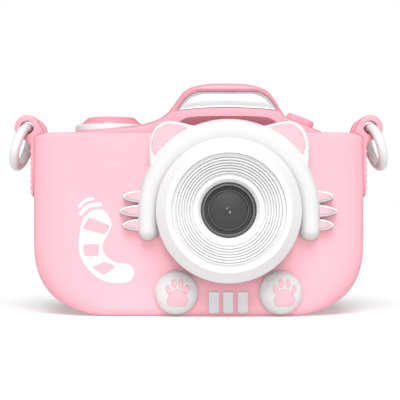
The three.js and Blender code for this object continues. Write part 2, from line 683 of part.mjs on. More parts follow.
function pawPieces(x) {
  const { dx, radius, depth, thickness } = PAW_WEB;
  const front = SLEEVE.front - GAP - PAW.proud;
  const webFront = front + depth;
  const web = barY(x + dx, PAW.z, radius, webFront, webFront + thickness, 16);
  const webRoom = barY(x + dx, PAW.z, radius + GAP, webFront - GAP, 0, 16);
  const dome = cut(pawDome(x), webRoom, ...pawPads(x, PAW.z, 0, BEFORE, 0));
  const insert = join(web, ...pawPads(x, PAW.z, -GAP, front + GAP / 3, webFront + thickness / 2));
  return [dome, insert];
}

function bar(x) {
  const { width, bottom, top, radius, proud } = BARS;
  const shape = roundedRect(x - width / 2, x + width / 2, bottom, top, radius);
  const prism = slab(shape, BEFORE, 0, { curveSegments: 2 });
  return prism.intersect(grown(GAP + proud)).subtract(grown(GAP));
}

// ---------------------------------------------------------------- strap brackets and rings

function strapBracket(side) {
  const { x, z, radius, hole, front, back } = LUG;
  const { inner, outer, tip, bottom, top, end, foot, taper, ridges } = STRIP;
  const flip = (points) => (side > 0 ? points : points.map(([px, pz]) => [-px, pz]).reverse());
  const neck = [[inner, foot], ...LUG_NECK, [inner, LUG_BUTTRESS.points[0][1]]];
  const pitch = (top - bottom) / ridges;
  const teeth = [];
  for (let i = 0; i < ridges; i += 1) {
    const low = bottom + i * pitch;
    teeth.push([outer - (i === 0 ? taper : 0), low], [outer + tip, low + pitch / 2]);
  }
  const strip = [[inner, bottom], ...teeth, [outer, top], [outer, end], [inner, end]];
  return cut(
    join(
      barY(side * x, z, radius, front, back, 24),
      slab(outline(flip(neck)), front, back),
      slab(outline(flip(LUG_BUTTRESS.points)), back - OVERLAP, back + LUG_BUTTRESS.depth),
      slab(outline(flip(strip)), STRIP.front, STRIP.back),
    ),
    barY(side * x, z, hole, BEFORE, BEHIND, 20),
  );
}

function lanyardRing(side) {
  const geometry = new THREE.TorusGeometry(RING.radius, RING.wire, 10, 28);
  geometry.rotateY(RIGHT_ANGLE);
  geometry.rotateZ(side * RING.yaw);
  geometry.translate(0, 0, -RING.radius);
  geometry.rotateY(-side * RING.tilt);
  geometry.translate(side * LUG.x, (LUG.front + LUG.back) / 2, LUG.z);
  return solid(geometry);
}

// ---------------------------------------------------------------- keys and screen

function padKey(direction) {
  const shape = new THREE.Shape();
  const from = direction - PAD.sweep / 2;
  const to = direction + PAD.sweep / 2;
  shape.absarc(PAD.x, PAD.z, PAD.outer, from, to);
  shape.absarc(PAD.x, PAD.z, PAD.inner, to, from, true);
  return slab(shape, KEY_FOOT, PAD_FACE, { curveSegments: 6 });
}

function screenWindow() {
  const { x, z, halfWidth, halfHeight, radius, rebate, sunk } = SCREEN;
  const shape = roundedRect(x - halfWidth, x + halfWidth, z - halfHeight, z + halfHeight, radius);
  return slab(shape, PLATEAU.face - rebate + GAP, PLATEAU.face - sunk);
}

function smallKey(x, z) {
  const wallInside = PLATEAU.face - PLATEAU.wall;
  return join(
    barY(x, z, SMALL_KEY.radius, KEY_FOOT, KEY_FACE, 16),
    barY(x, z, SMALL_KEY.flange, KEY_FOOT, wallInside - GAP, 16),
  );
}

// ---------------------------------------------------------------- electronics

function caseScrew(x, z) {
  const { head, headTop, headBottom, shank, tip } = SCREW;
  return join(barY(x, z, head, headBottom, headTop, 12), barY(x, z, shank, tip, headBottom + OVERLAP, 8));
}

function shutterBoard() {
  const { x0, x1, y0, y1, z0, z1 } = SHUTTER_BOARD;
  return block(x0, x1, y0, y1, z0, z1);
}

function shutterSwitch() {
  const { x, y } = SHUTTER;
  const { half, top } = SHUTTER_SWITCH;
  return block(x - half, x + half, y - half, y + half, SHUTTER_BOARD.z1 + GAP, top);
}

function cameraModule() {
  const { half, back } = MODULE;
  return block(LENS.x - half, LENS.x + half, BARREL.back + GAP, back, LENS.z - half, LENS.z + half);
}

function usbPort() {
  const { inside, outside, front, back, bottom, top, wall, floor } = USB;
  return cut(
    block(inside, outside, front, back, bottom, top),
    block(inside + floor, BESIDE, front + wall, back - wall, bottom + wall, top - wall),
  );
}

function cardCage() {
  const { inside, front, back, bottom, top } = CARD;
  const { mouth, wall, floor } = CAGE;
  const room = GAP + wall;
  return cut(
    block(mouth, inside + GAP + floor, front - room, back + room, bottom - room, top + room),
    block(-BESIDE, inside + GAP, front - GAP, back + GAP, bottom - GAP, top + GAP),
  );
}

function memoryCard() {
  const { inside, outside, front, back, bottom, top, corner } = CARD;
  const edge = [
    [inside, bottom], [inside, top - corner], [inside - corner, top], [outside, top], [outside, bottom],
  ];
  return slab(outline(edge), front, back);
}

// ---------------------------------------------------------------- assembly

const group = new THREE.Group();

function place(name, shape, look) {
  const mesh = new THREE.Mesh(geometryOf(shape), new THREE.MeshStandardMaterial(look));
  mesh.name = name;
  group.add(mesh);
}

place('silicone_case', siliconeCase(), SILICONE_PINK);
place('front_shell', frontShell(), SHELL_PINK);
place('rear_shell', rearShell(), SHELL_PINK);
place('top_cover', topCover(), SHELL_PINK);

place('cat_face_ring', catFace(), WHITE);
earInlays(0).forEach((shape, i) => place(`ear_inlay_${['left', 'right'][i]}`, shape, SILICONE_PINK));
whiskerSpots().forEach((spot, i) => {
  const side = spot[2] < 0 ? 'left' : 'right';
  place(`whisker_inlay_${side}_${Math.floor(i / 2) + 1}`, whiskerInlay(spot), SILICONE_PINK);
});
PAW.xs.forEach((x, i) => {
  const [dome, insert] = pawPieces(x);
  place(`paw_dome_${['left', 'right'][i]}`, dome, WHITE);
  place(`paw_insert_${['left', 'right'][i]}`, insert, SILICONE_PINK);
});
BARS.xs.forEach((x, i) => place(`bib_bar_${i + 1}`, bar(x), WHITE));

place('lens_bezel', lensBezel(), WHITE);
place('lens_barrel', lensBarrel(), BLACK);
place('lens_retaining_ring', lensRing(), BLACK);
place('lens_glass', lensGlass(), GLASS);
place('camera_module', cameraModule(), DARK);

place('flash_window', slab(flashOutline(0), FLASH.face, FLASH.face + FLASH.thickness), DIFFUSER);
place('flash_board', flashBoard(), BOARD);
place('shutter_plate', shutterPlate(), WHITE);
place('shutter_button', shutterButton(), BUTTON_PINK);
place('shutter_board', shutterBoard(), BOARD);
place('shutter_switch', shutterSwitch(), DARK);
place('mode_dial', dialShape(DIAL.radius, DIAL.shaft, DIAL.reach), DIAL_PINK);

place('screen_window', screenWindow(), GLASS);
place('lcd_panel', block(...LCD_PANEL), DARK);
['right', 'up', 'left', 'down'].forEach((name, i) => {
  place(`key_${name}`, padKey(i * RIGHT_ANGLE), BUTTON_PINK);
});
place('key_ok', barY(PAD.x, PAD.z, PAD.okRadius, KEY_FOOT, KEY_FACE, 20), BUTTON_PINK);
Object.entries(SMALL_KEYS).forEach(([name, [x, z]]) => place(name, smallKey(x, z), BUTTON_PINK));
place('key_membrane', block(...KEY_MEMBRANE), SILICONE_PINK);

place('main_board', block(...MAIN_BOARD), BOARD);
place('battery', block(...BATTERY), FOIL);
place('speaker', barY(SPEAKER.x, SPEAKER.z, SPEAKER.radius, SPEAKER.front, SPEAKER.back, 20), DARK);
place('usb_port', usbPort(), METAL);
place('card_cage', cardCage(), METAL);
place('memory_card', memoryCard(), DARK);
SCREWS.forEach(([x, z], i) => place(`case_screw_${i + 1}`, caseScrew(x, z), METAL));

[['left', -1], ['right', 1]].forEach(([name, side]) => {
  place(`strap_bracket_${name}`, strapBracket(side), SHELL_PINK);
  place(`lanyard_ring_${name}`, lanyardRing(side), WHITE);
});

export default group;
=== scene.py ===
import json
import math

import bmesh
import bpy
from mathutils import Matrix, Vector


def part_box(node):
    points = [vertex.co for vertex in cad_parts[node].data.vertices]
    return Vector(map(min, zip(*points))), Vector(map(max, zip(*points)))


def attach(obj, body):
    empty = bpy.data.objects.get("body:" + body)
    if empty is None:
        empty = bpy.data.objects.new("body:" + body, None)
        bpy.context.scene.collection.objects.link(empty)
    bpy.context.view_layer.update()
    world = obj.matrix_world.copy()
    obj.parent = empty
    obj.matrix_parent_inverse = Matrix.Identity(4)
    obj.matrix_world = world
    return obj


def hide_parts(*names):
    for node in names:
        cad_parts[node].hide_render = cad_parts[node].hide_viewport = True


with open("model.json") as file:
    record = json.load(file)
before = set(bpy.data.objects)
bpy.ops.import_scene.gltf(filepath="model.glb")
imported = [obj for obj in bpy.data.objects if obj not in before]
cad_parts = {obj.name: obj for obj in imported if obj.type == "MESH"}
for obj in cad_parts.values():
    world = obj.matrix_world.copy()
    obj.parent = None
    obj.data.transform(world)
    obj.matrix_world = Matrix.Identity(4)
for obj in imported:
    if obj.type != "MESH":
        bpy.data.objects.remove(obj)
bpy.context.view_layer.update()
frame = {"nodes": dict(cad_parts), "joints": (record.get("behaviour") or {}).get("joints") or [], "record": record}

MM = 0.001
BODY = "camera_body"


# ---------------------------------------------------------------- sizes taken from the frame, in millimetres

def box_mm(node):
    low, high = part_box(node)
    return Vector(low) / MM, Vector(high) / MM


def middle(node):
    low, high = box_mm(node)
    return (low + high) / 2


SLEEVE_LOW, SLEEVE_HIGH = box_mm("silicone_case")
SHELL_LOW, SHELL_HIGH = box_mm("rear_shell")
COVER_LOW, COVER_HIGH = box_mm("top_cover")
BEZEL_LOW, BEZEL_HIGH = box_mm("lens_bezel")
BARREL_LOW, BARREL_HIGH = box_mm("lens_barrel")
FACE_LOW = box_mm("cat_face_ring")[0]
LENS = middle("lens_glass")
BEZEL_RADIUS = (BEZEL_HIGH.x - BEZEL_LOW.x) / 2
FRONT = SLEEVE_LOW.y
SNUG = 0.05  # clearance drawn between pieces that touch
OPEN_TOP = 90.0


# ---------------------------------------------------------------- outlines in X and Z

def powered(value, power):
    return math.copysign(abs(value) ** power, value)


def arc(cx, cz, radius, start, end, steps, radius_z=None, power=1.0):
    """Points of an arc from start to end, in degrees. A power below 1 makes it fuller than an ellipse."""
    tall = radius if radius_z is None else radius_z
    angles = [math.radians(start + (end - start) * i / steps) for i in range(steps + 1)]
    return [(cx + radius * powered(math.cos(a), power),
             cz + tall * powered(math.sin(a), power)) for a in angles]


def rounded_rect(x0, x1, z0, z1, radius, steps=8):
    return (
        arc(x1 - radius, z1 - radius, radius, 0, 90, steps)
        + arc(x0 + radius, z1 - radius, radius, 90, 180, steps)
        + arc(x0 + radius, z0 + radius, radius, 180, 270, steps)
        + arc(x1 - radius, z0 + radius, radius, 270, 360, steps)
    )


def curve_through(points, per=6, closed=False):
    """A Catmull-Rom curve through the points."""
    count = len(points)
    spans = count if closed else count - 1
    result = []
    for i in range(spans):
        if closed:
            p = [points[(i + k - 1) % count] for k in range(4)]
        else:
            p = [points[min(max(i + k - 1, 0), count - 1)] for k in range(4)]
        for j in range(per):
            t = j / per
            result.append(tuple(
                0.5 * (2 * b + (c - a) * t + (2 * a - 5 * b + 4 * c - d) * t * t
                       + (3 * b - a - 3 * c + d) * t ** 3)
                for a, b, c, d in zip(*p)
            ))
    if not closed:
        result.append(tuple(points[-1]))
    return result


def bezier(a, b, c, steps):
    ts = [i / steps for i in range(steps + 1)]
    return [tuple((1 - t) ** 2 * p + 2 * t * (1 - t) * q + t * t * r for p, q, r in zip(a, b, c)) for t in ts]


def inset(points, distance):
    """The outline drawn in by a distance, or grown by a negative one."""
    count = len(points)
    area = sum(points[i][0] * points[(i + 1) % count][1] - points[(i + 1) % count][0] * points[i][1]
               for i in range(count))
    way = 1 if area > 0 else -1
    result = []
    for i, point in enumerate(points):
        before, after = Vector(points[i - 1]), Vector(points[(i + 1) % count])
        here = Vector(point)
        first, second = (here - before), (after - here)
        if first.length < 1e-6 or second.length < 1e-6:
            first = second = after - before
        first.normalize()
        second.normalize()
        normal = Vector((-first.y - second.y, first.x + second.x))
        if normal.length < 1e-6:
            normal = Vector((-first.y, first.x))
        normal.normalize()
        reach = min(1 / max(normal.dot(Vector((-first.y, first.x))), 0.2), 1.6)
        result.append(tuple(here + normal * (way * distance * reach)))
    return result


def mirrored(points, axis):
    return [(2 * axis - x, z) for x, z in reversed(points)]


# ---------------------------------------------------------------- meshes

def make(name, verts, faces):
    """A closed mesh object from points in millimetres, with its faces outwards."""
    mesh = bpy.data.meshes.new(name)
    mesh.from_pydata([tuple(c * MM for c in v) for v in verts], [], faces)
    shape = bmesh.new()
    shape.from_mesh(mesh)
    bmesh.ops.remove_doubles(shape, verts=shape.verts, dist=1e-7)
    bmesh.ops.dissolve_degenerate(shape, edges=shape.edges, dist=1e-8)
    bmesh.ops.recalc_face_normals(shape, faces=shape.faces)
    shape.to_mesh(mesh)
    shape.free()
    obj = bpy.data.objects.new(name, mesh)
    bpy.context.scene.collection.objects.link(obj)
    return obj


def loft(name, rings, ring_closed=True, capped=True):
    """Skins a run of rings with equal point counts. Both ends are closed, unless the run closes on itself."""
    count = len(rings[0])
    verts = [v for ring in rings for v in ring]
    faces = []
    runs = len(rings) - 1 if capped else len(rings)
    for s in range(runs):
        after = ((s + 1) % len(rings)) * count
        for i in range(count if ring_closed else count - 1):
            j = (i + 1) % count
            faces.append((s * count + i, s * count + j, after + j, after + i))
    if capped:
        faces.append(tuple(range(count)))
        faces.append(tuple((len(rings) - 1) * count + i for i in range(count)))
    return make(name, verts, faces)


def plate(name, outline, front, back, round_front=0.0, round_back=0.0, steps=4):
    """A slab with its outline in X and Z, from front to back along Y, with rounded front and back edges."""
    rings = []
    turns = [i / steps * math.pi / 2 for i in range(steps + 1)]

    def add(distance, y):
        rings.append([(x, y, z) for x, z in inset(outline, distance)])

    if round_front:
        add(round_front + 0.04, front)
    for a in turns if round_front else [math.pi / 2]:
        add(round_front * (1 - math.sin(a)), front + round_front * (1 - math.cos(a)))
    for a in reversed(turns) if round_back else [math.pi / 2]:
        add(round_back * (1 - math.sin(a)), back - round_back * (1 - math.cos(a)))
    if round_back:
        add(round_back + 0.04, back)
    return loft(name, rings)


def turned(name, profile, x, z, segments=96, closed=False):
    """A turned piece about a Y axis through (x, z); the profile lists radius and depth."""
    angles = [2 * math.pi * i / segments for i in range(segments)]
    rings = [[(x + r * math.cos(a), y, z + r * math.sin(a)) for a in angles] for r, y in profile]
    return loft(name, rings, capped=not closed)


def turned_up(name, profile, x, y, segments=96, closed=False):
    """A turned piece about an upright axis; the profile lists radius and height."""
    angles = [2 * math.pi * i / segments for i in range(segments)]
    rings = [[(x + r * math.cos(a), y + r * math.sin(a), z) for a in angles] for r, z in profile]
    return loft(name, rings, capped=not closed)


def bake(obj):
    """Applies the object's modifiers to its mesh."""
    evaluated = obj.evaluated_get(bpy.context.evaluated_depsgraph_get())
    mesh = bpy.data.meshes.new_from_object(evaluated)
    obj.modifiers.clear()
    old = obj.data
    obj.data = mesh
    bpy.data.meshes.remove(old)
    return obj


def combine(obj, other, operation):
    modifier = obj.modifiers.new("combine", "BOOLEAN")
    modifier.operation = operation
    modifier.solver = "MANIFOLD"
    modifier.object = other
    bpy.context.view_layer.update()
    bake(obj)
    bpy.data.objects.remove(other)
    return obj


def cut(obj, *cutters):
    for cutter in cutters:
        combine(obj, cutter, "DIFFERENCE")
    return obj


def join(obj, *others):
    for other in others:
        combine(obj, other, "UNION")
    return obj


def common(obj, other):
    return combine(obj, other, "INTERSECT")


def block(x0, x1, y0, y1, z0, z1):
    return plate("cutter", [(x0, z0), (x1, z0), (x1, z1), (x0, z1)], y0, y1)


def soften(obj, width, segments=3, angle=40):
    """Rounds the sharp edges of a finished shape."""
    modifier = obj.modifiers.new("soften", "BEVEL")
    modifier.width = width * MM
    modifier.segments = segments
    modifier.limit_method = "ANGLE"
    modifier.angle_limit = math.radians(angle)
    modifier.use_clamp_overlap = True
    return bake(obj)


def finish(obj, material, body=BODY, nodes=(), crease=38):
    """Shades a piece, gives it its material and ties it to the frame."""
    mesh = obj.data
    mesh.shade_smooth()
    mesh.set_sharp_from_angle(angle=math.radians(crease))
    weighted = obj.modifiers.new("weighted", "WEIGHTED_NORMAL")
    weighted.keep_sharp = True
    mesh.materials.clear()
    mesh.materials.append(material)
    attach(obj, body)
    if nodes:
        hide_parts(*nodes)
    return obj


# ---------------------------------------------------------------- materials

ALBEDO = 0.8  # every colour is this much darker than on screen, because the front light is strong


def srgb(r, g, b):
    """A colour given as 0 to 255 on screen, as the shader's linear value."""
    def linear(c):
        c /= 255
        return c / 12.92 if c <= 0.04045 else ((c + 0.055) / 1.055) ** 2.4
    return (ALBEDO * linear(r), ALBEDO * linear(g), ALBEDO * linear(b), 1.0)


def material(name, colour, roughness, *, shift=0.04, spread=0.08, grain=0.02, grain_size=0.35, coat=0.0,
             metallic=0.0, sheen=0.0, subsurface=0.0, specular=0.5, worn=0.05):
    """A moulded surface: slow colour drift, handled gloss, a fine texture and slightly paler worn edges."""
    made = bpy.data.materials.new(name)
    made.use_nodes = True
    tree = made.node_tree
    nodes, link = tree.nodes, tree.links.new
    shader = nodes["Principled BSDF"]
    shader.inputs["Metallic"].default_value = metallic
    shader.inputs["Specular IOR Level"].default_value = specular
    shader.inputs["Coat Weight"].default_value = coat
    shader.inputs["Coat Roughness"].default_value = 0.12
    shader.inputs["Sheen Weight"].default_value = sheen
    shader.inputs["Sheen Roughness"].default_value = 0.5
    shader.inputs["Subsurface Weight"].default_value = subsurface
    shader.inputs["Subsurface Radius"].default_value = (1.0, 0.6, 0.5)
    shader.inputs["Subsurface Scale"].default_value = 1.5 * MM
    place = nodes.new("ShaderNodeTexCoord")

    def pattern(size_mm, detail=2.0):
        texture = nodes.new("ShaderNodeTexNoise")
        texture.inputs["Scale"].default_value = 1 / (size_mm * MM)
        texture.inputs["Detail"].default_value = detail
        link(place.outputs["Object"], texture.inputs["Vector"])
        return texture.outputs["Fac"]

    def ranged(source, low, high, start=0.3, end=0.7):
        span = nodes.new("ShaderNodeMapRange")
        span.inputs["From Min"].default_value = start
        span.inputs["From Max"].default_value = end
        span.inputs["To Min"].default_value = low
        span.inputs["To Max"].default_value = high
        link(source, span.inputs["Value"])
        return span.outputs["Result"]

    def blend(factor, first, second):
        mix = nodes.new("ShaderNodeMix")
        mix.data_type = "RGBA"
        link(factor, mix.inputs["Factor"])
        for socket, value in ((mix.inputs["A"], first), (mix.inputs["B"], second)):
            if isinstance(value, tuple):
                socket.default_value = value
            else:
                link(value, socket)
        return mix.outputs["Result"]

    deeper = tuple(c * (1 - shift) for c in colour[:3]) + (1.0,)
    paler = tuple(min(1.0, c + (1 - c) * 0.35) for c in colour[:3]) + (1.0,)
    drift = blend(ranged(pattern(16.0), 0.0, 1.0), colour, deeper)
    edges = nodes.new("ShaderNodeNewGeometry")
    wear = ranged(edges.outputs["Pointiness"], 0.0, worn, 0.52, 0.6)
    link(blend(wear, drift, paler), shader.inputs["Base Color"])
    link(ranged(pattern(6.0, 3.0), roughness - spread / 2, roughness + spread / 2),
         shader.inputs["Roughness"])
    bump = nodes.new("ShaderNodeBump")
    bump.inputs["Strength"].default_value = 1.0
    bump.inputs["Distance"].default_value = grain * MM
    link(pattern(grain_size, 1.0), bump.inputs["Height"])
    link(bump.outputs["Normal"], shader.inputs["Normal"])
    return made


SILICONE = material("silicone_pink", srgb(249, 184, 196), 0.68, grain=0.012, grain_size=0.28, subsurface=0.03,
                    specular=0.22)
SHELL = material("shell_pink", srgb(248, 165, 180), 0.42, grain=0.012, grain_size=0.45)
BUTTON = material("button_pink", srgb(248, 155, 171), 0.36, grain=0.006, coat=0.15)
DIAL = material("dial_pink", srgb(248, 169, 189), 0.36, grain=0.006, coat=0.15)
INLAY = material("inlay_pink", srgb(248, 187, 198), 0.55, grain=0.01, grain_size=0.28, specular=0.3)
PRINT_WHITE = material("print_white", srgb(231, 230, 230), 0.5, grain=0.004, grain_size=0.2, worn=0.0)
PRINT_PINK = material("print_pink", srgb(243, 178, 191), 0.5, grain=0.004, grain_size=0.2, worn=0.0)
RUBBER_WHITE = material("white_rubber", srgb(219, 218, 218), 0.5, grain=0.008, grain_size=0.28, shift=0.015)
WHITE = material("white_plastic", srgb(229, 228, 228), 0.34, grain=0.005, grain_size=0.4, coat=0.2,
                 shift=0.012)
BAR_WHITE = material("bar_grey", srgb(217, 217, 218), 0.5, grain=0.008, grain_size=0.28, shift=0.015)
DIFFUSER = material("flash_diffuser", srgb(214, 214, 215), 0.3, grain=0.03, grain_size=0.8, coat=0.4,
                    shift=0.01)
BLACK = material("barrel_black", srgb(89, 89, 90), 0.42, grain=0.004, grain_size=0.25, shift=0.1)
# Painted shade: a darker grey for the barrel's groove, standing in for the shade that falls inside the recess.
GROOVE_PAINTED_SHADE = material("painted_groove_shade", srgb(50, 50, 51), 0.6, grain=0.008, grain_size=0.2, shift=0.1)
GLASS = material("lens_coating", srgb(70, 70, 71), 0.24, spread=0.04, grain=0.0005, shift=0.02,
                 specular=0.07, worn=0.0)
# Painted highlight: a pale grey for two small discs on the pupil, standing in for glints reflected inside the
# lens.
GLINT = material("painted_glint", srgb(118, 118, 120), 0.15, coat=1.0, grain=0.0005, worn=0.0)
SCREEN = material("screen_mask", srgb(30, 30, 34), 0.08, spread=0.03, grain=0.0003, coat=1.0, shift=0.02,
                  worn=0.0)
LCD = material("screen_active", srgb(46, 48, 58), 0.1, spread=0.03, grain=0.0003, coat=1.0, shift=0.05,
               worn=0.0)
STEEL = material("steel", srgb(190, 192, 196), 0.3, metallic=1.0, grain=0.006, grain_size=0.15)
BOARD = material("circuit_board", srgb(38, 100, 66), 0.5, grain=0.01, grain_size=1.2)
COMPONENT = material("component_black", srgb(38, 38, 42), 0.5, grain=0.015, grain_size=0.25)
FOIL = material("battery_foil", srgb(160, 168, 176), 0.35, grain=0.04, grain_size=2.5, metallic=0.6)
MEMBRANE = material("membrane", srgb(225, 225, 222), 0.6, grain=0.01)

SLOT_MATERIALS = {
    "silicone_pink": SILICONE, "shell_pink": SHELL, "button_pink": BUTTON, "dial_pink": DIAL,
    "inlay_pink": INLAY,
    "white_plastic": WHITE, "white_rubber": RUBBER_WHITE, "diffuser": DIFFUSER, "black_plastic": BLACK,
    "dark_glass": GLASS, "steel": STEEL, "circuit_board": BOARD, "component_black": COMPONENT, "foil": FOIL,
    "rubber_membrane": MEMBRANE,
}


# ---------------------------------------------------------------- the sleeve's rounded block

CORNER_X, CORNER_Z = 24.0, 22.0
FULL_CORNER = 0.8
TOP_CORNER_X, TOP_CORNER_Z = 4.0, 2.0
FRONT_ROUND = {"side": 14.0, "side_depth": 8.0, "bottom": 3.0, "top": 0.9, "edge_depth": 2.3}
BACK_ROUND = {"side": 7.0, "side_depth": 6.0, "bottom": 5.0, "top": 1.0, "edge_depth": 6.0}
SLEEVE_WALL = 2.2
SHELL_WALL = 1.8
GAP = 0.3


def block_ring(grow, y, top, side, bottom, top_inset, steps=14):
    """The block's outline at one depth, drawn in by the side, bottom and top insets."""
    half = SLEEVE_HIGH.x + grow - side
    low = SLEEVE_LOW.z - grow + bottom
    high = top - top_inset
    corner_x, corner_z = CORNER_X + grow - side, CORNER_Z + grow - bottom
    top_x = max(TOP_CORNER_X - side / 4, 0.5)
    top_z = max(TOP_CORNER_Z - top_inset, 0.5)
    points = (
        arc(half - top_x, high - top_z, top_x, 0, 90, 5, top_z)
        + arc(top_x - half, high - top_z, top_x, 90, 180, 5, top_z)
        + arc(corner_x - half, low + corner_z, corner_x, 180, 270, steps, corner_z, FULL_CORNER)
        + arc(half - corner_x, low + corner_z, corner_x, 270, 360, steps, corner_z, FULL_CORNER)
    )
    return [(x, y, z) for x, z in points]


def drawn_in(size, depth, distance):
    """How far a rounded edge is drawn in behind its face: a quarter ellipse, gone at its depth."""
    left = max(1 - distance / depth, 0.0)
    return size * (1 - math.sqrt(1 - left * left))


def rounded_block(name, grow=0.0, top=None, steps=18):
    """The rounded block as one solid, grown or shrunk by one distance all round."""
    top = SLEEVE_HIGH.z + grow if top is None else top
    rings = []
    for face, way, form in ((SLEEVE_LOW.y - grow, 1, FRONT_ROUND), (SLEEVE_HIGH.y + grow, -1, BACK_ROUND)):
        stations = []
        for i in range(steps + 1):
            distance = form["side_depth"] * (1 - math.cos(i / steps * math.pi / 2))
            side = drawn_in(form["side"], form["side_depth"], distance)
            bottom, upper = (drawn_in(form[edge], form["edge_depth"], distance) for edge in ("bottom", "top"))
            stations.append(block_ring(grow, face + way * distance, top, side, bottom, upper))
        rings += stations if way > 0 else stations[::-1]
    return loft(name, rings)


def lens_hole(radius, x=LENS.x):
    return turned("cutter", [(radius, -40.0), (radius, 40.0)], x, LENS.z, 128)


def port_windows():
    """Cutters for the charging port on one side and the memory card on the other."""
    usb_low, usb_high = box_mm("usb_port")
    card_low, card_high = box_mm("memory_card")
    flare = 0.35
    usb = side_slot(40, 60, usb_low.y - flare, usb_high.y + flare, usb_low.z - 0.5, usb_high.z + 0.5)
    card = side_slot(-60, -40, card_low.y - 4 * flare, card_high.y + 4 * flare, card_low.z - 0.8,
                     card_high.z + 0.8)
    return usb, card


def side_slot(x0, x1, y0, y1, z0, z1):
    """A cutter through a side wall, with round ends seen from the side."""
    radius = min(y1 - y0, z1 - z0) / 2 - 0.01
    outline = rounded_rect(y0, y1, z0, z1, radius, 8)
    return loft("cutter", [[(x, y, z) for y, z in outline] for x in (x0, x1)])


def sleeve():
    outer = rounded_block("silicone_sleeve")
    inner = rounded_block("cutter", -SLEEVE_WALL, OPEN_TOP)
    window = plate("cutter", rounded_rect(-41, 41, 6, OPEN_TOP, 5), 15, 30)
    cut(outer, inner, window, lens_hole(BEZEL_RADIUS + 0.15), *port_windows())
    soften(outer, 0.45, 3, 50)
    finish(outer, SILICONE, nodes=["silicone_case"], crease=60)


# ---------------------------------------------------------------- printed tail

TAIL = [
    (-31.5, 30.6), (-29.4, 31.3), (-27.5, 30.8), (-26.1, 29.1), (-25.5, 27.4), (-25.7, 25.8),
    (-27.0, 23.2), (-28.0, 21.1),
    (-27.7, 18.6), (-26.1, 16.9), (-24.3, 15.8), (-21.5, 15.5), (-19.6, 14.6), (-18.8, 12.8), (-19.4, 11.1),
    (-21.0, 10.0), (-23.9, 9.8), (-27.0, 10.2), (-29.7, 11.6), (-32.1, 13.8), (-33.9, 16.4), (-34.8, 19.1),
    (-34.9, 22.0), (-34.4, 26.0), (-33.5, 28.7),
]
TAIL_PATCHES = [
    [(-32.0, 28.9), (-25.9, 26.6), (-27.3, 24.0), (-33.8, 25.7)],
    [(-33.7, 21.0), (-29.1, 21.1), (-29.2, 17.8), (-33.3, 17.7)],
    [(-27.4, 15.9), (-24.2, 14.6), (-27.6, 12.2), (-31.1, 14.4)],
]
MOTION_ARCS = [
    ([(-34.8, 32.1), (-33.7, 33.3), (-32.3, 34.1), (-30.75, 34.4)], 0.45),
    ([(-34.3, 30.1), (-33.0, 31.6), (-31.0, 32.5), (-28.6, 32.7)], 0.58),
]
INK = 0.05


def stroke(points, half):
    """The outline of a rounded brush stroke along a curve."""
    line = [Vector(p) for p in curve_through(points, 8)]
    left, right = [], []
    for i, here in enumerate(line):
        along = (line[min(i + 1, len(line) - 1)] - line[max(i - 1, 0)]).normalized()
        side = Vector((-along.y, along.x)) * half
        left.append(tuple(here + side))
        right.append(tuple(here - side))
    start = math.degrees(math.atan2(line[1].y - line[0].y, line[1].x - line[0].x))
    end = math.degrees(math.atan2(line[-1].y - line[-2].y, line[-1].x - line[-2].x))
    cap_end = arc(*line[-1], half, end + 90, end - 90, 8)[1:-1]
    cap_start = arc(*line[0], half, start - 90, start - 270, 8)[1:-1]
    return left + cap_end + right[::-1] + cap_start


def tail_print():
    white = plate("tail_print", curve_through(TAIL, 6, closed=True), FRONT - INK, FRONT + 0.1)
    finish(white, PRINT_WHITE)
    for i, patch in enumerate(TAIL_PATCHES):
        bowed = []
        for k, corner in enumerate(patch):
            after = patch[(k + 1) % 4]
            out = Vector((after[1] - corner[1], corner[0] - after[0])).normalized() * -0.25
            centre = ((corner[0] + after[0]) / 2 + out.x, (corner[1] + after[1]) / 2 + out.y)
            bowed += bezier(corner, centre, after, 6)[:-1]
        finish(plate(f"tail_patch_{i + 1}", bowed, FRONT - 2 * INK, FRONT + 0.1), PRINT_PINK)
    for i, (points, half) in enumerate(MOTION_ARCS):
        mark = plate(f"tail_motion_{i + 1}", stroke(points, half), FRONT - INK, FRONT + 0.1)
        finish(mark, PRINT_WHITE)


# ---------------------------------------------------------------- cat face

RING_OUTER = 26.55
RING_X = LENS.x + 0.18
ARM_HALF = 3.1
TOP_EXTRA = 1.0  # how much wider the ring's section is over the top of the lens
EAR_AXIS = LENS.x + 0.24  # the white ears mirror about it, their inlays and the whiskers about the lens
ARM_X = RING_OUTER - ARM_HALF
RING_HEIGHT = FRONT - FACE_LOW.y - GAP
FACE_BACK = FRONT - SNUG
ARM_END = FACE_LOW.z
EAR_LEFT = [
    (-14.1, 42.4), (-14.3, 44.6), (-14.45, 49.4), (-13.75, 52.8), (-12.05, 55.5), (-9.03, 56.9),
    (-5.35, 56.5),
    (-0.95, 55.4), (2.5, 54.6),
]
EAR_INSIDE = [(0.0, 51.5), (-8.5, 45.5), (-12.8, 40.5)]
EAR_FRONT = FRONT - 3.7
INLAY_TOP = [(-12.6, 46.7), (-13.5, 49.4), (-12.95, 52.4), (-11.45, 54.7), (-8.95, 55.95), (-5.6, 55.6),
             (-3.45, 54.8)]
INLAY_RADIUS = 26.62
WHISKERS = [(35.0, 5.7), (30.8, 6.7), (26.75, 5.7)]
WHISKER_HALF = 1.78
WHISKER_BORDER = 0.62
WHISKER_TIP = 0.95
WHISKER_BASE = -16.4
WHISKER_FRONT = FRONT - 2.7


def ring_section(centre, across, half, height, back, steps=20):
    """The soft D of the ring, from its outer foot over the top to its inner foot."""
    points = []
    power = 2 / 2.7
    for i in range(steps + 1):
        a = math.pi * i / steps
        c, s = math.cos(a), math.sin(a)
        off = half * math.copysign(abs(c) ** power, c)
        points.append((centre[0] + across[0] * off, back - height * abs(s) ** power,
                       centre[1] + across[1] * off))
    return points


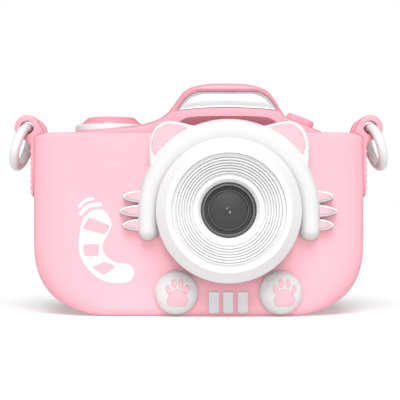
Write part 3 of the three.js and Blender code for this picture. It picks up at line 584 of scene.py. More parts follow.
def face_ring():
    stations = []
    arm_centre = ARM_END + ARM_HALF
    end_steps = 9
    for side in (-1, 1):
        run = []
        for i in range(end_steps, 0, -1):
            off = ARM_HALF * math.sin(i / end_steps * math.pi / 2 * 0.985)
            part = math.sqrt(max(1 - (off / ARM_HALF) ** 2, 0.0))
            run.append(((RING_X + side * ARM_X, arm_centre - off), (side, 0), ARM_HALF * part,
                        RING_HEIGHT * part ** 0.7))
        for z in (arm_centre, (arm_centre + LENS.z) / 2):
            run.append(((RING_X + side * ARM_X, z), (side, 0), ARM_HALF, RING_HEIGHT))
        if side < 0:
            stations += run
            for i in range(65):
                a = math.pi * (1 - i / 64)
                half = ARM_HALF + TOP_EXTRA * math.sin(a) ** 1.5
                middle = RING_OUTER - half
                spot = (RING_X + middle * math.cos(a), LENS.z + middle * math.sin(a))
                stations.append((spot, (math.cos(a), math.sin(a)), half, RING_HEIGHT))
        else:
            stations += [(spot, (side, 0), half, height) for spot, _, half, height in reversed(run)]
    rings = [ring_section(*station, FACE_BACK) for station in stations]
    return loft("cat_face", rings)


def ear_outline():
    return curve_through(EAR_LEFT, 6) + EAR_INSIDE


def ear_inlay(name, flip, grow, front, back, round_front=0.0):
    """The pink of one ear, whose lower edge follows the lens ring."""
    shape = plate(name, inset(flip(curve_through(INLAY_TOP, 6)), -grow), front, back, round_front=round_front)
    return cut(shape, lens_hole(INLAY_RADIUS - grow, RING_X))


def leaf(x, z, way, reach, half, steps=14):
    """A full leaf that points away from the lens, with a blunt round tip."""
    points = []
    for i in range(-steps, steps + 1):
        a = math.pi / 2 * i / steps
        points.append((x + way * reach * math.cos(a) ** 0.95, z + half * powered(math.sin(a), 1.12)))
    return points


def cat_face():
    face = face_ring()
    for side, flip in (("left", lambda p: p), ("right", lambda p: mirrored(p, EAR_AXIS))):
        ear = plate("ear", flip(ear_outline()), EAR_FRONT, FACE_BACK, round_front=0.9, steps=5)
        inner = flip if side == "left" else lambda p: mirrored(p, LENS.x)
        cut(ear, ear_inlay("cutter", inner, SNUG, EAR_FRONT - 5, EAR_FRONT + 0.6))
        join(face, ear)
        pink = ear_inlay(f"ear_inlay_fine_{side}", inner, 0.0, EAR_FRONT - 0.02, EAR_FRONT + 0.58, 0.15)
        finish(pink, INLAY, nodes=[f"ear_inlay_{side}"])
        way = -1 if side == "left" else 1
        base = WHISKER_BASE if way < 0 else 2 * LENS.x - WHISKER_BASE
        for i, (z, reach) in enumerate(WHISKERS):
            shape = leaf(base, z, way, reach, WHISKER_HALF)
            whisker = plate("whisker", shape, WHISKER_FRONT, FACE_BACK, round_front=0.55, steps=5)
            pocket = leaf(base, z, way, reach - WHISKER_TIP, WHISKER_HALF - WHISKER_BORDER)
            cut(whisker, plate("cutter", inset(pocket, -SNUG), WHISKER_FRONT - 5, WHISKER_FRONT + 0.5))
            join(face, whisker)
            inlay = plate(f"whisker_inlay_fine_{side}_{i + 1}", pocket, WHISKER_FRONT - 0.05,
                          WHISKER_FRONT + 0.48,
                          round_front=0.25)
            finish(inlay, INLAY, nodes=[f"whisker_inlay_{side}_{i + 1}"])
    cut(face, lens_hole(BEZEL_RADIUS + 0.22))
    finish(face, RUBBER_WHITE, nodes=["cat_face_ring"], crease=50)


# ---------------------------------------------------------------- paws and bib

PAW_PROUD = 3.7
PAD_SHAPE = [
    (-2.95, -0.7), (-2.6, -2.0), (-1.5, -2.45), (0.0, -2.3), (1.5, -2.45), (2.6, -2.0), (2.95, -0.7),
    (2.3, 0.8), (1.2, 2.0), (0.0, 2.4), (-1.2, 2.0), (-2.3, 0.8),
]
PAD_AT = (0.0, -1.25)
PRINT_SHIFT = {"left": 0.4, "right": 0.95}
TOES = [(-2.65, 1.1, 12), (-1.0, 2.75, 4), (1.0, 2.75, -4), (2.65, 1.1, -12)]


def dome_profile(radius, grow=0.0, steps=20):
    """Half an egg that stands proud of the front, from a root inside the sleeve to its tip."""
    apex = FRONT - GAP - PAW_PROUD - grow
    base = apex + PAW_PROUD
    rim = [(radius, 0.0)] if grow else [(radius - 0.3, 0.0), (radius - 0.3, base + 0.3), (radius, base)]
    cap = [(radius * math.sin(a), base - (PAW_PROUD + grow) * math.cos(a))
           for a in [math.pi / 2 * i / steps for i in range(steps - 1, 0, -1)]]
    return rim + cap + [(0.02, apex)]


def toe(x, z, lean):
    tilt = math.radians(lean)
    points = []
    for px, pz in arc(0, 0, 0.7, 0, 360, 20, 1.2)[:-1]:
        points.append((x + px * math.cos(tilt) - pz * math.sin(tilt),
                       z + px * math.sin(tilt) + pz * math.cos(tilt)))
    return points


def paws():
    for side in ("left", "right"):
        low, high = box_mm(f"paw_dome_{side}")
        x, z, radius = (low.x + high.x) / 2, (low.z + high.z) / 2, (high.x - low.x) / 2
        dome = turned("paw_fine_" + side, dome_profile(radius), x, z, 80)
        cut(dome, rounded_block("cutter", SNUG))
        middle_x = x + PRINT_SHIFT[side]
        pad_outline = curve_through(PAD_SHAPE, 5, closed=True)
        shapes = [[(middle_x + PAD_AT[0] + px, z + PAD_AT[1] + pz) for px, pz in pad_outline]]
        shapes += [toe(middle_x + tx, z + tz, lean) for tx, tz, lean in TOES]
        front = low.y - 1
        for i, shape in enumerate(shapes):
            pad = plate(f"paw_pad_{side}_{i + 1}", shape, front, FRONT - 1.5)
            common(pad, turned("cutter", dome_profile(radius, 0.1), x, z, 80))
            cut(dome, plate("cutter", inset(shape, -SNUG), front, FRONT - 1.2))
            soften(pad, 0.12, 2, 50)
            finish(pad, INLAY, nodes=[f"paw_insert_{side}"] if i == 0 else ())
        finish(dome, RUBBER_WHITE, nodes=[f"paw_dome_{side}"], crease=50)


def bib_bars():
    for i in range(3):
        node = f"bib_bar_{i + 1}"
        low, high = box_mm(node)
        corner = 0.75
        shape = [(high.x, high.z), (low.x, high.z)]
        shape += arc(low.x + corner, low.z + corner, corner, 180, 270, 6)
        shape += arc(high.x - corner, low.z + corner, corner, 270, 360, 6)
        bar = plate("bib_bar_fine_" + str(i + 1), shape, -15, 2)
        common(bar, rounded_block("cutter", 0.55))
        cut(bar, rounded_block("cutter", SNUG))
        soften(bar, 0.15, 3, 50)
        finish(bar, BAR_WHITE, nodes=[node])


# ---------------------------------------------------------------- lens

# Each step of the bezel: where its groove starts, the groove's width, the step and the groove's depth.
TERRACES = [(16.27, 0.8, 0.8, 0.35)]
TERRACES += [(radius, 0.3, 0.42, 0.45) for radius in (15.14, 14.32, 13.54, 12.82, 12.08, 11.28)]
TERRACES.append((10.58, 0.46, 0.6, 0.3))
# Barrel faces nearer the lens axis than this radius take the painted shade: the groove and the wall inside it.
PAINTED_SHADE_RADIUS = 6.98


def lens():
    front = BEZEL_LOW.y
    back = BEZEL_HIGH.y
    bore = (BARREL_HIGH.x - BARREL_LOW.x) / 2
    profile = [(bore + 0.15, back), (BEZEL_RADIUS, back), (BEZEL_RADIUS, front + 3.5)]
    profile += [(BEZEL_RADIUS - 0.08, front + 3.2), (BEZEL_RADIUS - 0.25, front + 2.9)]
    profile += [(17.95, front + 0.2), (17.75, front + 0.06), (17.5, front)]
    depth = front
    for radius, width, step, groove in TERRACES:
        bottom = depth + step + groove
        profile += [(radius + 0.06, depth), (radius, depth + 0.05), (radius - width / 4, bottom)]
        depth += step
        profile += [(radius - width + 0.03, bottom), (radius - width, depth + 0.05),
                    (radius - width - 0.05, depth)]
    profile += [(8.99, depth), (8.92, depth + 0.05), (bore + 0.2, depth + 1.0)]
    profile += [(bore + 0.15, depth + 1.1), (bore + 0.15, back - 0.01)]
    bezel = turned("lens_bezel_fine", profile, LENS.x, LENS.z, 160, closed=True)
    finish(bezel, WHITE, nodes=["lens_bezel"], crease=35)

    tip = BARREL_LOW.y
    rim = [(4.2, BARREL_HIGH.y), (bore, BARREL_HIGH.y), (bore, tip + 0.25), (bore - 0.12, tip + 0.05),
           (bore - 0.25, tip)]
    rim += [(7.08, tip), (6.95, tip + 0.1), (6.88, tip + 1.0), (6.7, tip + 1.25), (6.05, tip + 1.3)]
    rim += [(5.95, tip + 1.4), (5.92, tip + 2.4), (4.2, tip + 2.4)]
    barrel = turned("lens_barrel_fine", rim, LENS.x, LENS.z, 128, closed=True)
    finish(barrel, BLACK, nodes=["lens_barrel"], crease=35)
    # The groove's faces get the darker grey, a painted shade in the recess.
    barrel.data.materials.append(GROOVE_PAINTED_SHADE)
    for face in barrel.data.polygons:
        spot = face.center / MM
        if math.hypot(spot.x - LENS.x, spot.z - LENS.z) < PAINTED_SHADE_RADIUS:
            face.material_index = 1

    seat = tip + 2.0
    ring = [(5.88, seat), (5.88, seat - 1.2), (5.8, seat - 1.32), (5.66, seat - 1.32), (5.58, seat - 1.2),
            (5.56, seat)]
    retainer = turned("lens_retainer_fine", ring, LENS.x, LENS.z, 96, closed=True)
    finish(retainer, BLACK, nodes=["lens_retaining_ring"], crease=30)

    glass_profile = [(5.52, seat)]
    sphere = 46.0
    for i in range(10, 0, -1):
        r = 5.5 * i / 10
        glass_profile.append((r, seat - 1.1 + sphere - math.sqrt(sphere ** 2 - r ** 2)))
    glass_profile.append((0.02, seat - 1.1))
    glass = turned("lens_glass_fine", glass_profile, LENS.x, LENS.z, 96)
    finish(glass, GLASS, nodes=["lens_glass"])

    pupil = [(1.35, seat - 0.9), (1.3, seat - 1.13), (0.9, seat - 1.2), (0.4, seat - 1.25),
             (0.02, seat - 1.26)]
    finish(turned("lens_front_element", pupil, LENS.x, LENS.z, 64), GLASS)
    # Two small pale discs on the pupil: painted glints in place of reflections from the inner lens elements.
    for i, (x, z, radius) in enumerate(((-0.56, 0.43, 0.24), (0.36, -0.72, 0.36))):
        bead = [(radius, seat - 1.1), (radius, seat - 1.24), (radius * 0.6, seat - 1.33), (0.02, seat - 1.36)]
        element = turned(f"lens_inner_element_{i + 1}", bead, LENS.x + x, LENS.z + z, 32)
        finish(element, GLINT)


# ---------------------------------------------------------------- top cover, flash, shutter and dial

COVER_LEFT = [(-46.4, 52.9), (-37.2, 53.4), (-36.6, 53.7), (-36.2, 54.6)]
COVER_HUMP = [
    (-20.5, 55.95), (-17.2, 56.45), (-14.4, 57.1), (-11.8, 58.1), (-10.1, 59.2), (-8.75, 60.4), (-7.6, 61.9),
    (-6.2, 63.85), (-4.9, 65.6), (-3.5, 66.75), (-1.7, 67.55), (2.6, 68.4), (8.7, 68.58), (14.4, 68.3),
    (17.8, 67.55),
    (19.8, 66.7), (21.2, 65.6), (22.85, 63.3), (24.0, 61.4), (25.4, 59.1),
]
COVER_RIGHT = [(36.2, 54.4), (37.0, 53.8), (37.8, 53.4), (46.4, 52.9)]
FLASH_X, FLASH_HALF, FLASH_TOP, FLASH_CORNER, FLASH_MIDDLE = 8.5, 14.6, 65.9, 60.4, 61.3
COVER_BODY_FRONT = COVER_LOW.y


def cover_outline():
    shoulder = [(COVER_LEFT[-1][0] + (COVER_HUMP[0][0] - COVER_LEFT[-1][0]) * i / 6,
                 COVER_LEFT[-1][1] + (COVER_HUMP[0][1] - COVER_LEFT[-1][1]) * i / 6) for i in range(1, 6)]
    slope = [(25.4 + (36.2 - 25.4) * i / 5, 59.1 + (54.4 - 59.1) * i / 5) for i in range(1, 5)]
    top = COVER_LEFT + shoulder + curve_through(COVER_HUMP, 4) + slope + COVER_RIGHT
    return top + [(46.4, COVER_LOW.z), (-46.4, COVER_LOW.z)]


def flash_outline(grow):
    """The window seen from the front: a bowed lower edge with sharp ends, and round upper corners."""
    half = FLASH_HALF + 1.67 * grow
    low, high = FLASH_CORNER - 1.2 * grow, FLASH_TOP + grow
    bottom = bezier((FLASH_X - half, low), (FLASH_X, 2 * FLASH_MIDDLE - FLASH_CORNER - grow),
                    (FLASH_X + half, low), 16)
    right = bezier(bottom[-1], (FLASH_X + half - 2.4, high - 0.5), (FLASH_X + half - 6.6, high), 12)[1:]
    left = bezier((FLASH_X - half + 6.6, high), (FLASH_X - half + 2.4, high - 0.5), bottom[0], 12)[:-1]
    return bottom + right + left


def undercut():
    """The scoop below the hump's lip, which clears the lens ring."""
    rings = []
    for y, top in ((-12.0, 58.75), (COVER_BODY_FRONT, 58.7), (-5.2, 56.4)):
        arch = [(-6.2, 50.0), (-6.2, top - 2.1)]
        arch += curve_through([(-5.6, top - 1.6), (-4.2, top - 0.8), (-2.6, top - 0.3), (1.5, top)], 5)
        arch += [(2 * FLASH_X - x, z) for x, z in reversed(arch)]
        rings.append([(x, y, z) for x, z in arch])
    return loft("cutter", rings)


def top_cover():
    outline = cover_outline()
    rings = []
    for y, draw in ((COVER_LOW.y, 1.3), (COVER_LOW.y + 0.12, 1.0), (COVER_LOW.y + 0.4, 0.75),
                    (COVER_LOW.y + 1.0, 0.5),
                    (COVER_LOW.y + 2.2, 0.2), (COVER_LOW.y + 3.8, 0.0), (COVER_HIGH.y - 2.4, 0.0),
                    (COVER_HIGH.y - 1.2, 0.3), (COVER_HIGH.y - 0.4, 0.9), (COVER_HIGH.y, 1.9)):
        rings.append([(x, y, z) for x, z in inset(outline, draw)])
    cover = loft("top_cover_fine", rings)
    common(cover, rounded_block("cutter", -(SLEEVE_WALL + 0.2), OPEN_TOP))
    button = middle("shutter_button")
    plate_low, plate_high = box_mm("shutter_plate")
    plate_radius = (plate_high.x - plate_low.x) / 2
    floor = plate_low.z - GAP
    well = turned_up("cutter", [(plate_radius + 0.12, floor), (plate_radius + 0.12, OPEN_TOP)], button.x,
                     button.y)
    stem = turned_up("cutter", [(2.1, 40), (2.1, OPEN_TOP)], button.x, button.y, 48)
    opening = plate("cutter", flash_outline(0.12), -12, -4.5)
    lip = loft("cutter", [[(x, COVER_LOW.y + y, z) for x, z in flash_outline(grow)] for y, grow in
                          ((-0.5, 1.1), (0.0, 0.85), (0.55, 0.3), (0.75, 0.1))])
    shaft = turned_up("cutter", [(1.6, -3.8), (1.6, 3)], 0, 0, 32)
    shaft.data.transform(dial_place())
    hollow = plate("cutter", [(-7, 50), (24, 50), (23.2, 57.4), (19.4, 64), (16.8, 66.2), (0, 66.2),
                              (-3.2, 63.6)], -1, 17.5)
    pocket = plate("cutter", [(-2, 60.4), (19, 60.4), (18.6, 64.4), (16, 66.2), (1, 66.2), (-1.6, 64.4)],
                   -5.4, 0)
    cut(cover, undercut(), hollow, pocket, opening, lip, well, stem, shaft)
    soften(cover, 0.35, 3, 40)
    finish(cover, SHELL, nodes=["top_cover"], crease=45)


def flash_window():
    """A frosted pane behind a raised lip, with a slightly crowned face."""
    front = box_mm("flash_window")[0].y
    rings = []
    for draw, y in ((0.0, 1.2), (0.0, 0.3), (0.06, 0.2), (0.5, 0.72), (0.58, 0.76), (0.7, 0.72), (1.0, 0.6),
                    (1.5, 0.48), (2.0, 0.44)):
        rings.append([(x, front + y, z) for x, z in flash_outline(-draw)])
    finish(loft("flash_window_fine", rings), DIFFUSER, nodes=["flash_window"])


def shutter():
    low, high = box_mm("shutter_plate")
    x, y = (low.x + high.x) / 2, (low.y + high.y) / 2
    outer = (high.x - low.x) / 2
    inner = (box_mm("shutter_button")[1].x - x) + 0.3
    profile = [(inner, low.z), (outer, low.z), (outer, high.z - 0.9)]
    profile += [(outer - 0.9 + 0.9 * math.cos(a), high.z - 0.9 + 0.9 * math.sin(a)) for a in
                [math.pi / 2 * i / 6 for i in range(1, 7)]]
    profile += [(inner + 0.35, high.z), (inner + 0.1, high.z - 0.1), (inner, high.z - 0.35)]
    collar = turned_up("shutter_collar", profile, x, y, 128, closed=True)
    finish(collar, WHITE, nodes=["shutter_plate"], crease=35)

    low, high = box_mm("shutter_button")
    skirt, top = (high.x - low.x) / 2, 7.05
    profile = [(1.8, low.z), (1.8, 55.5), (skirt, 55.5), (skirt, 57.0), (skirt - 0.12, 57.25),
               (skirt - 0.3, 57.4)]
    profile += [(top + 0.35, high.z - 0.35), (top + 0.15, high.z - 0.14), (top - 0.2, high.z)]
    profile += [(top - 1.2, high.z - 0.02), (3.0, high.z - 0.22), (0.02, high.z - 0.28)]
    button = turned_up("shutter_button_fine", [(0.02, low.z)] + profile, x, y, 128)
    finish(button, BUTTON, body="shutter", nodes=["shutter_button"], crease=40)


def dial_place():
    """Where the mode dial's own frame sits: its axis leans out along the sloped shoulder."""
    joint = next(j for j in frame["joints"] if j["name"] == "mode_dial_turn")
    axis = Vector(joint["axis"]).normalized()
    turn = Vector((0, 0, 1)).rotation_difference(axis).to_matrix().to_4x4()
    return Matrix.Translation(Vector(joint["pos_m"])) @ turn


def mode_dial():
    teeth, radius, thickness = 40, 4.3, 1.9
    steps = teeth * 6

    def ring(scale_radius, z, knurl):
        points = []
        for i in range(steps):
            a = 2 * math.pi * i / steps
            groove = knurl * (0.5 - 0.5 * math.cos(teeth * a)) ** 0.6
            r = scale_radius - groove
            points.append((r * math.cos(a), r * math.sin(a), z))
        return points

    rings = [
        ring(radius - 0.3, 0.0, 0.0), ring(radius - 0.05, 0.12, 0.1), ring(radius, 0.3, 0.2),
        ring(radius, thickness - 0.45, 0.2), ring(radius - 0.06, thickness - 0.22, 0.12),
        ring(radius - 0.3, thickness - 0.03, 0.0), ring(radius - 0.55, thickness, 0.0),
        ring(radius - 1.0, thickness, 0.0), ring(radius - 1.1, thickness - 0.1, 0.0),
        ring(0.6, thickness - 0.1, 0.0),
    ]
    dial = loft("mode_dial_fine", rings)
    join(dial, turned_up("post", [(1.3, -3.4), (1.3, 0.6)], 0, 0, 48))
    mark = plate("dial_mark", rounded_rect(-0.28, 0.28, 1.1, 3.0, 0.27, 6), -thickness, -thickness + 0.3,
                 round_front=0.08)
    mark.data.transform(Matrix.Rotation(math.radians(-90), 4, "X"))
    for obj in (dial, mark):
        obj.data.transform(dial_place())
    finish(dial, DIAL, body="dial", nodes=["mode_dial"], crease=35)
    finish(mark, WHITE, body="dial")


# ---------------------------------------------------------------- strap brackets and rings

LUG = {"x": 51.6, "z": 55.8, "radius": 3.8, "hole": 1.92, "front": 0.6, "back": 4.2}
RING = {"radius": 6.05, "wire": 1.4, "tilt": math.radians(16), "yaw": math.radians(9)}
RIDGES = 8
STRIP = {"inner": 49.13, "outer": 50.0, "tip": 0.35, "bottom": 34.9, "top": 49.5, "front": -2.0, "back": 8.0}


def strap_bracket(side, name):
    x, z, radius = LUG["x"], LUG["z"], LUG["radius"]

    def flip(points):
        return points if side > 0 else [(-px, pz) for px, pz in reversed(points)]

    eye = arc(x, z, radius, -20, 140, 30)
    corner = arc(SLEEVE_HIGH.x - TOP_CORNER_X, SLEEVE_HIGH.z - TOP_CORNER_Z, TOP_CORNER_X + 0.1, 75, 0, 8,
                 TOP_CORNER_Z + 0.1)
    neck = curve_through([eye[-1], (47.6, 56.6), (46.9, 55.2), (46.5, 54.0)], 5)[1:] + corner[2:]
    foot = [(STRIP["inner"], 47.4), (50.1, 48.4)]
    foot += curve_through([(50.5, 49.6), (51.6, 51.5), (54.1, 53.0), eye[0]], 5)[:-1]
    eye_plate = plate("strap_bracket_fine_" + name, flip(eye + neck + foot), LUG["front"], LUG["back"],
                      0.8, 0.6, 5)
    web = corner[::-1] + [(46.0, 53.95)] + curve_through([(46.1, 54.4), (46.8, 56.4), (47.8, 57.8),
                                                          (48.9, 58.55)], 5)
    web.append((49.7, 58.6))
    buttress = plate("buttress", flip(web), LUG["back"] - 1.0, LUG["back"] + 3.8, 0.0, 0.8, 4)
    pitch = (STRIP["top"] - STRIP["bottom"]) / RIDGES
    ridged = []
    for i in range(RIDGES * 8 + 1):
        part = i / 8
        wave = (0.5 - 0.5 * math.cos(2 * math.pi * part)) ** 0.8
        taper = min(1.0, 0.35 + part * 0.65)
        low = STRIP["inner"] + (STRIP["outer"] - STRIP["inner"]) * taper
        ridged.append((low + STRIP["tip"] * wave, STRIP["bottom"] + part * pitch))
    profile = ridged + [(STRIP["outer"], 51.2), (STRIP["inner"], 51.2), (STRIP["inner"], STRIP["bottom"])]
    strip = plate("strip", flip(profile), STRIP["front"], STRIP["back"], 0.25, 0.25, 3)
    join(eye_plate, buttress, strip)
    hole = turned("cutter", [(LUG["hole"], -20), (LUG["hole"], 20)], side * x, z, 64)
    flares = [turned("cutter", [(LUG["hole"] + 0.25, y0), (LUG["hole"], y1)], side * x, z, 64)
              for y0, y1 in ((LUG["front"] - 0.01, LUG["front"] + 0.3),
                             (LUG["back"] + 0.01, LUG["back"] - 0.3))]
    cut(eye_plate, hole, *flares)
    finish(eye_plate, SHELL, nodes=[f"strap_bracket_{name}"], crease=45)


def lanyard_ring(side, name):
    steps, around = 96, 32
    turn = (
        Matrix.Translation((side * LUG["x"], (LUG["front"] + LUG["back"]) / 2, LUG["z"]))
        @ Matrix.Rotation(-side * RING["tilt"], 4, "Y")
        @ Matrix.Translation((0, 0, -RING["radius"]))
        @ Matrix.Rotation(side * RING["yaw"], 4, "Z")
    )
    rings = []
    for i in range(steps):
        a = 2 * math.pi * i / steps
        ring = []
        for k in range(around):
            b = 2 * math.pi * k / around
            reach = RING["radius"] + RING["wire"] * math.cos(b)
            ring.append(tuple(turn @ Vector((RING["wire"] * math.sin(b), reach * math.cos(a),
                                             reach * math.sin(a)))))
        rings.append(ring)
    torus = loft("lanyard_ring_fine_" + name, rings, capped=False)
    finish(torus, WHITE, body=f"ring_{name}", nodes=[f"lanyard_ring_{name}"])


# ---------------------------------------------------------------- back of the camera

PLATEAU = {"half": 40.6, "bottom": 6.4, "top": 50.9, "radius": 4.6, "wall": 1.8}


def rear_shell():
    face = SHELL_HIGH.y
    half, low, top, radius, wall = (PLATEAU[k] for k in ("half", "bottom", "top", "radius", "wall"))
    shell = rounded_block("rear_shell_fine", -(SLEEVE_WALL + 0.2), SHELL_HIGH.z, steps=8)
    cut(shell, block(-60, 60, -30, SHELL_LOW.y, -5, OPEN_TOP))
    join(shell, plate("plateau", rounded_rect(-half, half, low, top, radius), 15, face, 0.0, 0.6, 4))
    cut(shell, rounded_block("cutter", -(SLEEVE_WALL + 0.2 + SHELL_WALL), OPEN_TOP, steps=6))
    cut(shell, plate("cutter", rounded_rect(wall - half, half - wall, low + wall, OPEN_TOP, radius - wall),
                     10, face - wall))
    window = middle("screen_window")
    size = box_mm("screen_window")[1] - window
    rebate = rounded_rect(window.x - size.x - 0.15, window.x + size.x + 0.15, window.z - size.z - 0.15,
                          window.z + size.z + 0.15, 2.6)
    cutters = [plate("cutter", rebate, box_mm("screen_window")[0].y - 0.1, 30)]
    cutters.append(plate("cutter", rounded_rect(window.x - 20.8, window.x + 20.8, window.z - 15.8,
                                                window.z + 15.8, 0.5), 15, 30))
    ok = middle("key_ok")
    pad = (box_mm("key_right")[1].x - ok.x) + 0.2
    cutters.append(round_cutter(ok.x, ok.z, pad, 15))
    for key in ("key_menu", "key_play", "power_button"):
        spot = middle(key)
        cutters.append(round_cutter(spot.x, spot.z, 2.7, 15))
    for i in range(4):
        spot = middle(f"case_screw_{i + 1}")
        cutters.append(round_cutter(spot.x, spot.z, 2.2, box_mm(f"case_screw_{i + 1}")[1].y - 1.5))
    speaker = middle("speaker")
    for dx, dz in [(0, 0)] + [(2.2 * math.cos(math.radians(60 * i)),
                               1.1 * math.sin(math.radians(60 * i))) for i in range(6)]:
        cutters.append(round_cutter(speaker.x + dx, 9 + dz, 0.5, 15))
    cut(shell, *cutters, *port_windows())
    soften(shell, 0.25, 2, 50)
    finish(shell, SHELL, nodes=["rear_shell"], crease=45)


def round_cutter(x, z, radius, front):
    return turned("cutter", [(radius, front), (radius, 30)], x, z, 48)


def screen():
    low, high = box_mm("screen_window")
    outline = rounded_rect(low.x, high.x, low.z, high.z, 2.5)
    view = rounded_rect(low.x + 2.4, high.x - 2.4, low.z + 2.4, high.z - 2.4, 0.4)
    rings = [[(x, low.y, z) for x, z in outline], [(x, high.y - 0.25, z) for x, z in outline]]
    rings.append([(x, high.y - 0.06, z) for x, z in inset(outline, 0.08)])
    rings.append([(x, high.y, z) for x, z in inset(outline, 0.25)])
    rings.append([(x, high.y, z) for x, z in view])
    window = loft("screen_window_fine", rings)
    finish(window, SCREEN, nodes=["screen_window"])
    window.data.materials.append(LCD)
    for face in window.data.polygons:
        if face.area > 5e-4 and face.normal.y > 0.9:
            face.material_index = 1


def key_icon(name, points, y, body):
    finish(plate(name, points, y - 0.3, y + 0.07, 0.0, 0.05, 2), WHITE, body=body)


def triangle(x, z, size, direction):
    corners = [(x + size * math.cos(math.radians(direction + 120 * i)),
                z + size * math.sin(math.radians(direction + 120 * i))) for i in range(3)]
    rounded = []
    for i, corner in enumerate(corners):
        before, after = Vector(corners[i - 1]), Vector(corners[(i + 1) % 3])
        here = Vector(corner)
        rounded += bezier(tuple(here.lerp(before, 0.2)), corner, tuple(here.lerp(after, 0.2)), 4)
    return rounded


def keys():
    ok = middle("key_ok")
    foot = box_mm("key_ok")[0].y
    outer = box_mm("key_right")[1].x - ok.x
    sweep = 78
    for name, direction in (("right", 0), ("up", 90), ("left", 180), ("down", 270)):
        top = box_mm(f"key_{name}")[1].y
        shape = arc(ok.x, ok.z, outer, direction - sweep / 2, direction + sweep / 2, 24)
        shape += arc(ok.x, ok.z, 4.3, direction + sweep / 2, direction - sweep / 2, 12)
        body = f"key_{name}_body"
        key = plate(f"key_{name}_fine", shape, foot, top, 0.0, 0.55, 5)
        finish(key, BUTTON, body=body, nodes=[f"key_{name}"])
        spot = (ok.x + 7.4 * math.cos(math.radians(direction)),
                ok.z + 7.4 * math.sin(math.radians(direction)))
        key_icon(f"key_{name}_icon", triangle(*spot, 1.0, direction), top, body)
    top = box_mm("key_ok")[1].y
    finish(round_key("key_ok_fine", ok, 3.3, foot, top, None), BUTTON, body="key_ok_body",
           nodes=["key_ok"])
    key_icon("key_ok_icon", arc(ok.x, ok.z, 0.9, 0, 360, 32)[:-1], top, "key_ok_body")
    for name, body in (("key_menu", "key_menu_body"), ("key_play", "key_play_body"),
                       ("power_button", "power_key")):
        spot = middle(name)
        top = box_mm(name)[1].y
        key = round_key(name + "_fine", spot, 2.5, foot, top, 3.2)
        finish(key, BUTTON, body=body, nodes=[name])
        if name == "key_play":
            key_icon(name + "_icon", triangle(spot.x, spot.z, 1.0, 180), top, body)
        elif name == "key_menu":
            for i in (-1, 0, 1):
                line = rounded_rect(spot.x - 1.0, spot.x + 1.0, spot.z + i * 0.6 - 0.13,
                                    spot.z + i * 0.6 + 0.13, 0.12, 4)
                key_icon(f"{name}_icon_{i + 2}", line, top, body)
        else:
            key_icon(name + "_icon_1", stroke(arc(spot.x, spot.z, 0.85, 125, 415, 12), 0.13), top, body)
            key_icon(name + "_icon_2", rounded_rect(spot.x - 0.13, spot.x + 0.13, spot.z + 0.2,
                                                    spot.z + 1.15, 0.12, 4), top, body)


def round_key(name, spot, radius, foot, top, flange):
    profile = [(0.02, foot)]
    if flange:
        shoulder = SHELL_HIGH.y - PLATEAU["wall"] - GAP
        profile += [(flange, foot), (flange, shoulder), (radius, shoulder)]
    else:
        profile += [(radius, foot)]
    edge = 0.5
    profile += [(radius - edge + edge * math.cos(a), top - edge + edge * math.sin(a))
                for a in [math.pi / 2 * i / 5 for i in range(6)]]
    profile += [(radius * 0.5, top - 0.05), (0.02, top - 0.08)]
    return turned(name, profile, spot.x, spot.z, 64)


def screws():
    for i in range(4):
        node = f"case_screw_{i + 1}"
        low, high = box_mm(node)
        spot = middle(node)
        head = (high.x - low.x) / 2
        profile = [(0.02, low.y), (0.25, low.y), (0.9, low.y + 1.2)]
        turns = 14
        for k in range(turns):
            y = low.y + 1.5 + k * 0.55
            profile += [(0.68, y), (0.9, y + 0.27)]
        profile += [(0.8, low.y + 1.5 + turns * 0.55), (0.9, high.y - 1.9), (head, high.y - 1.4),
                    (head, high.y - 0.6)]
        profile += [(head - 0.15, high.y - 0.3), (head * 0.6, high.y - 0.06), (0.02, high.y)]
        screw = turned(f"case_screw_fine_{i + 1}", profile, spot.x, spot.z, 48)
        for angle in (0, 90):
            slot = block(-1.15, 1.15, -1.0, 1.0, -0.22, 0.22)
            slot.data.transform(Matrix.Translation((spot.x * MM, high.y * MM + 0.4 * MM, spot.z * MM))
                                @ Matrix.Rotation(math.radians(angle + 20 * i), 4, "Y"))
            cut(screw, slot)
        finish(screw, STEEL, nodes=[node], crease=30)


# ---------------------------------------------------------------- carried-over nodes

def usb_port():
    """A drawn metal cup with round ends, and the tongue inside it."""
    low, high = box_mm("usb_port")
    half = (high.y - low.y) / 2
    mouth, wall = high.x, 0.35
    rings = []
    for x, draw in ((low.x, 0.0), (mouth - 0.1, 0.0), (mouth, 0.1), (mouth, 0.25), (mouth - 0.1, wall),
                    (low.x + 1.5, wall)):
        outline = rounded_rect(low.y + draw, high.y - draw, low.z + draw, high.z - draw,
                               half - draw - 0.01, 8)
        rings.append([(x, y, z) for y, z in outline])
    finish(loft("usb_port_fine", rings), SLOT_MATERIALS["steel"], nodes=["usb_port"], crease=30)
    y, z = (low.y + high.y) / 2, (low.z + high.z) / 2
    thick, wide = 0.35, 3.2  # half of the tongue each way
    rings = []
    for x, draw in ((low.x + 1.4, 0.0), (mouth - 1.0, 0.0), (mouth - 0.8, 0.15)):
        outline = rounded_rect(y - thick + draw, y + thick - draw, z - wide + draw, z + wide - draw, 0.15, 4)
        rings.append([(x, a, b) for a, b in outline])
    finish(loft("usb_port_tongue", rings), BLACK, crease=30)


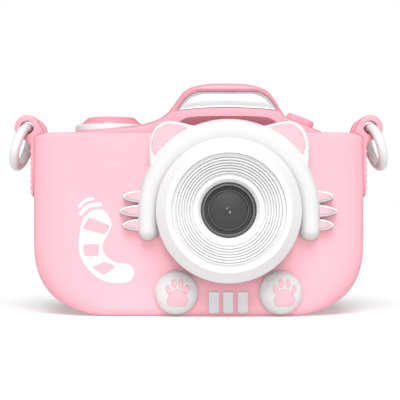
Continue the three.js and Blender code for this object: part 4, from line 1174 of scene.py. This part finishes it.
def memory_card():
    """The card with its cut corner, a printed label and its row of contacts."""
    low, high = box_mm("memory_card")
    corner = 1.5
    outline = [(low.x, low.z), (high.x, low.z), (high.x, high.z - corner), (high.x - corner, high.z),
               (low.x, high.z)]
    card = plate("memory_card_fine", outline, low.y, high.y, round_front=0.1, round_back=0.1)
    finish(card, SLOT_MATERIALS["component_black"], body="card", nodes=["memory_card"],
           crease=30)
    label = plate("memory_card_label", rounded_rect(low.x + 3, high.x - 4, low.z + 1.2, high.z - 2.2, 0.6),
                  high.y - 0.1,
                  high.y + INK)
    finish(label, PRINT_WHITE, body="card")
    contact_pitch = 1.05
    for i in range(8):
        z = low.z + 1.5 + i * contact_pitch
        pad = plate(f"memory_card_contact_{i + 1}",
                    rounded_rect(high.x - 3.2, high.x - 0.7, z, z + 0.7, 0.15, 3),
                    low.y - INK / 2, low.y + 0.1)
        finish(pad, SLOT_MATERIALS["foil"], body="card")


def carried_over():
    """Inner pieces and ports keep their CAD shape, with finer edges and their own materials."""
    slots = {part["node"]: part["material_slot"] for part in frame["record"]["subparts"]}
    for name, obj in frame["nodes"].items():
        obj.data.materials.clear()
        obj.data.materials.append(SLOT_MATERIALS[slots[name]])
        edges = obj.modifiers.new("fine_edges", "BEVEL")
        edges.width = 0.12 * MM
        edges.segments = 2
        edges.limit_method = "ANGLE"
        edges.angle_limit = math.radians(40)


# ---------------------------------------------------------------- stage

HORIZON_TOP, CEILING_START, CEILING_LIGHT = 0.17, 0.24, 0.2
SUN_LIGHT, SUN_WIDTH, SUN_HEIGHT = 3.4, 40, 54
FRONT_LIGHT, FRONT_WIDTH, FRONT_HEIGHT = 1.0, 20, 14
FLOOR_COLOUR = 0.66
FLOOR_GLOW = 0.26


def floor():
    size = 6.0
    ground = make("floor", [(-size / MM, -size / MM, -SNUG), (size / MM, -size / MM, -SNUG),
                            (size / MM, size / MM, -SNUG), (-size / MM, size / MM, -SNUG)], [(0, 1, 2, 3)])
    pale = bpy.data.materials.new("floor_pale")
    pale.use_nodes = True
    surface = pale.node_tree.nodes["Principled BSDF"]
    surface.inputs["Base Color"].default_value = (FLOOR_COLOUR, FLOOR_COLOUR, FLOOR_COLOUR, 1)
    surface.inputs["Roughness"].default_value = 0.9
    surface.inputs["Emission Color"].default_value = (1, 1, 1, 1)
    surface.inputs["Emission Strength"].default_value = FLOOR_GLOW
    ground.data.materials.append(pale)


def studio():
    """A white horizon all round, a dim ceiling, a broad soft sun from above the front and a low light."""
    scene = bpy.context.scene
    scene.view_settings.view_transform = "Standard"
    world = bpy.data.worlds.new("studio")
    world.use_nodes = True
    nodes, link = world.node_tree.nodes, world.node_tree.links.new
    direction = nodes.new("ShaderNodeTexCoord")
    split = nodes.new("ShaderNodeSeparateXYZ")
    height = nodes.new("ShaderNodeMapRange")
    height.inputs["From Min"].default_value = HORIZON_TOP
    height.inputs["From Max"].default_value = CEILING_START
    height.inputs["To Min"].default_value = 1.0
    height.inputs["To Max"].default_value = CEILING_LIGHT
    link(direction.outputs["Generated"], split.inputs["Vector"])
    link(split.outputs["Z"], height.inputs["Value"])
    link(height.outputs["Result"], nodes["Background"].inputs["Strength"])
    nodes["Background"].inputs["Color"].default_value = (1, 1, 1, 1)
    scene.world = world
    for name, light, width, elevation in (("sun", SUN_LIGHT, SUN_WIDTH, SUN_HEIGHT),
                                          ("front_light", FRONT_LIGHT, FRONT_WIDTH, FRONT_HEIGHT)):
        sun = bpy.data.lights.new(name, "SUN")
        sun.energy = light
        sun.angle = math.radians(width)
        lamp = bpy.data.objects.new(name, sun)
        lamp.rotation_euler = (math.radians(90 - elevation), 0, 0)
        scene.collection.objects.link(lamp)


def camera():
    eye = Vector((0.0004, FRONT * MM - 0.35, 0.034))
    view = bpy.data.cameras.new("camera")
    view.lens = 108
    view.sensor_width = 36
    obj = bpy.data.objects.new("camera", view)
    obj.location = eye
    obj.rotation_euler = (math.radians(90), 0, 0)
    bpy.context.scene.collection.objects.link(obj)
    bpy.context.scene.camera = obj


camera()
studio()
floor()
carried_over()
sleeve()
tail_print()
cat_face()
paws()
bib_bars()
lens()
top_cover()
flash_window()
shutter()
mode_dial()
for way, which in ((-1, "left"), (1, "right")):
    strap_bracket(way, which)
    lanyard_ring(way, which)
rear_shell()
screen()
keys()
screws()
usb_port()
memory_card()
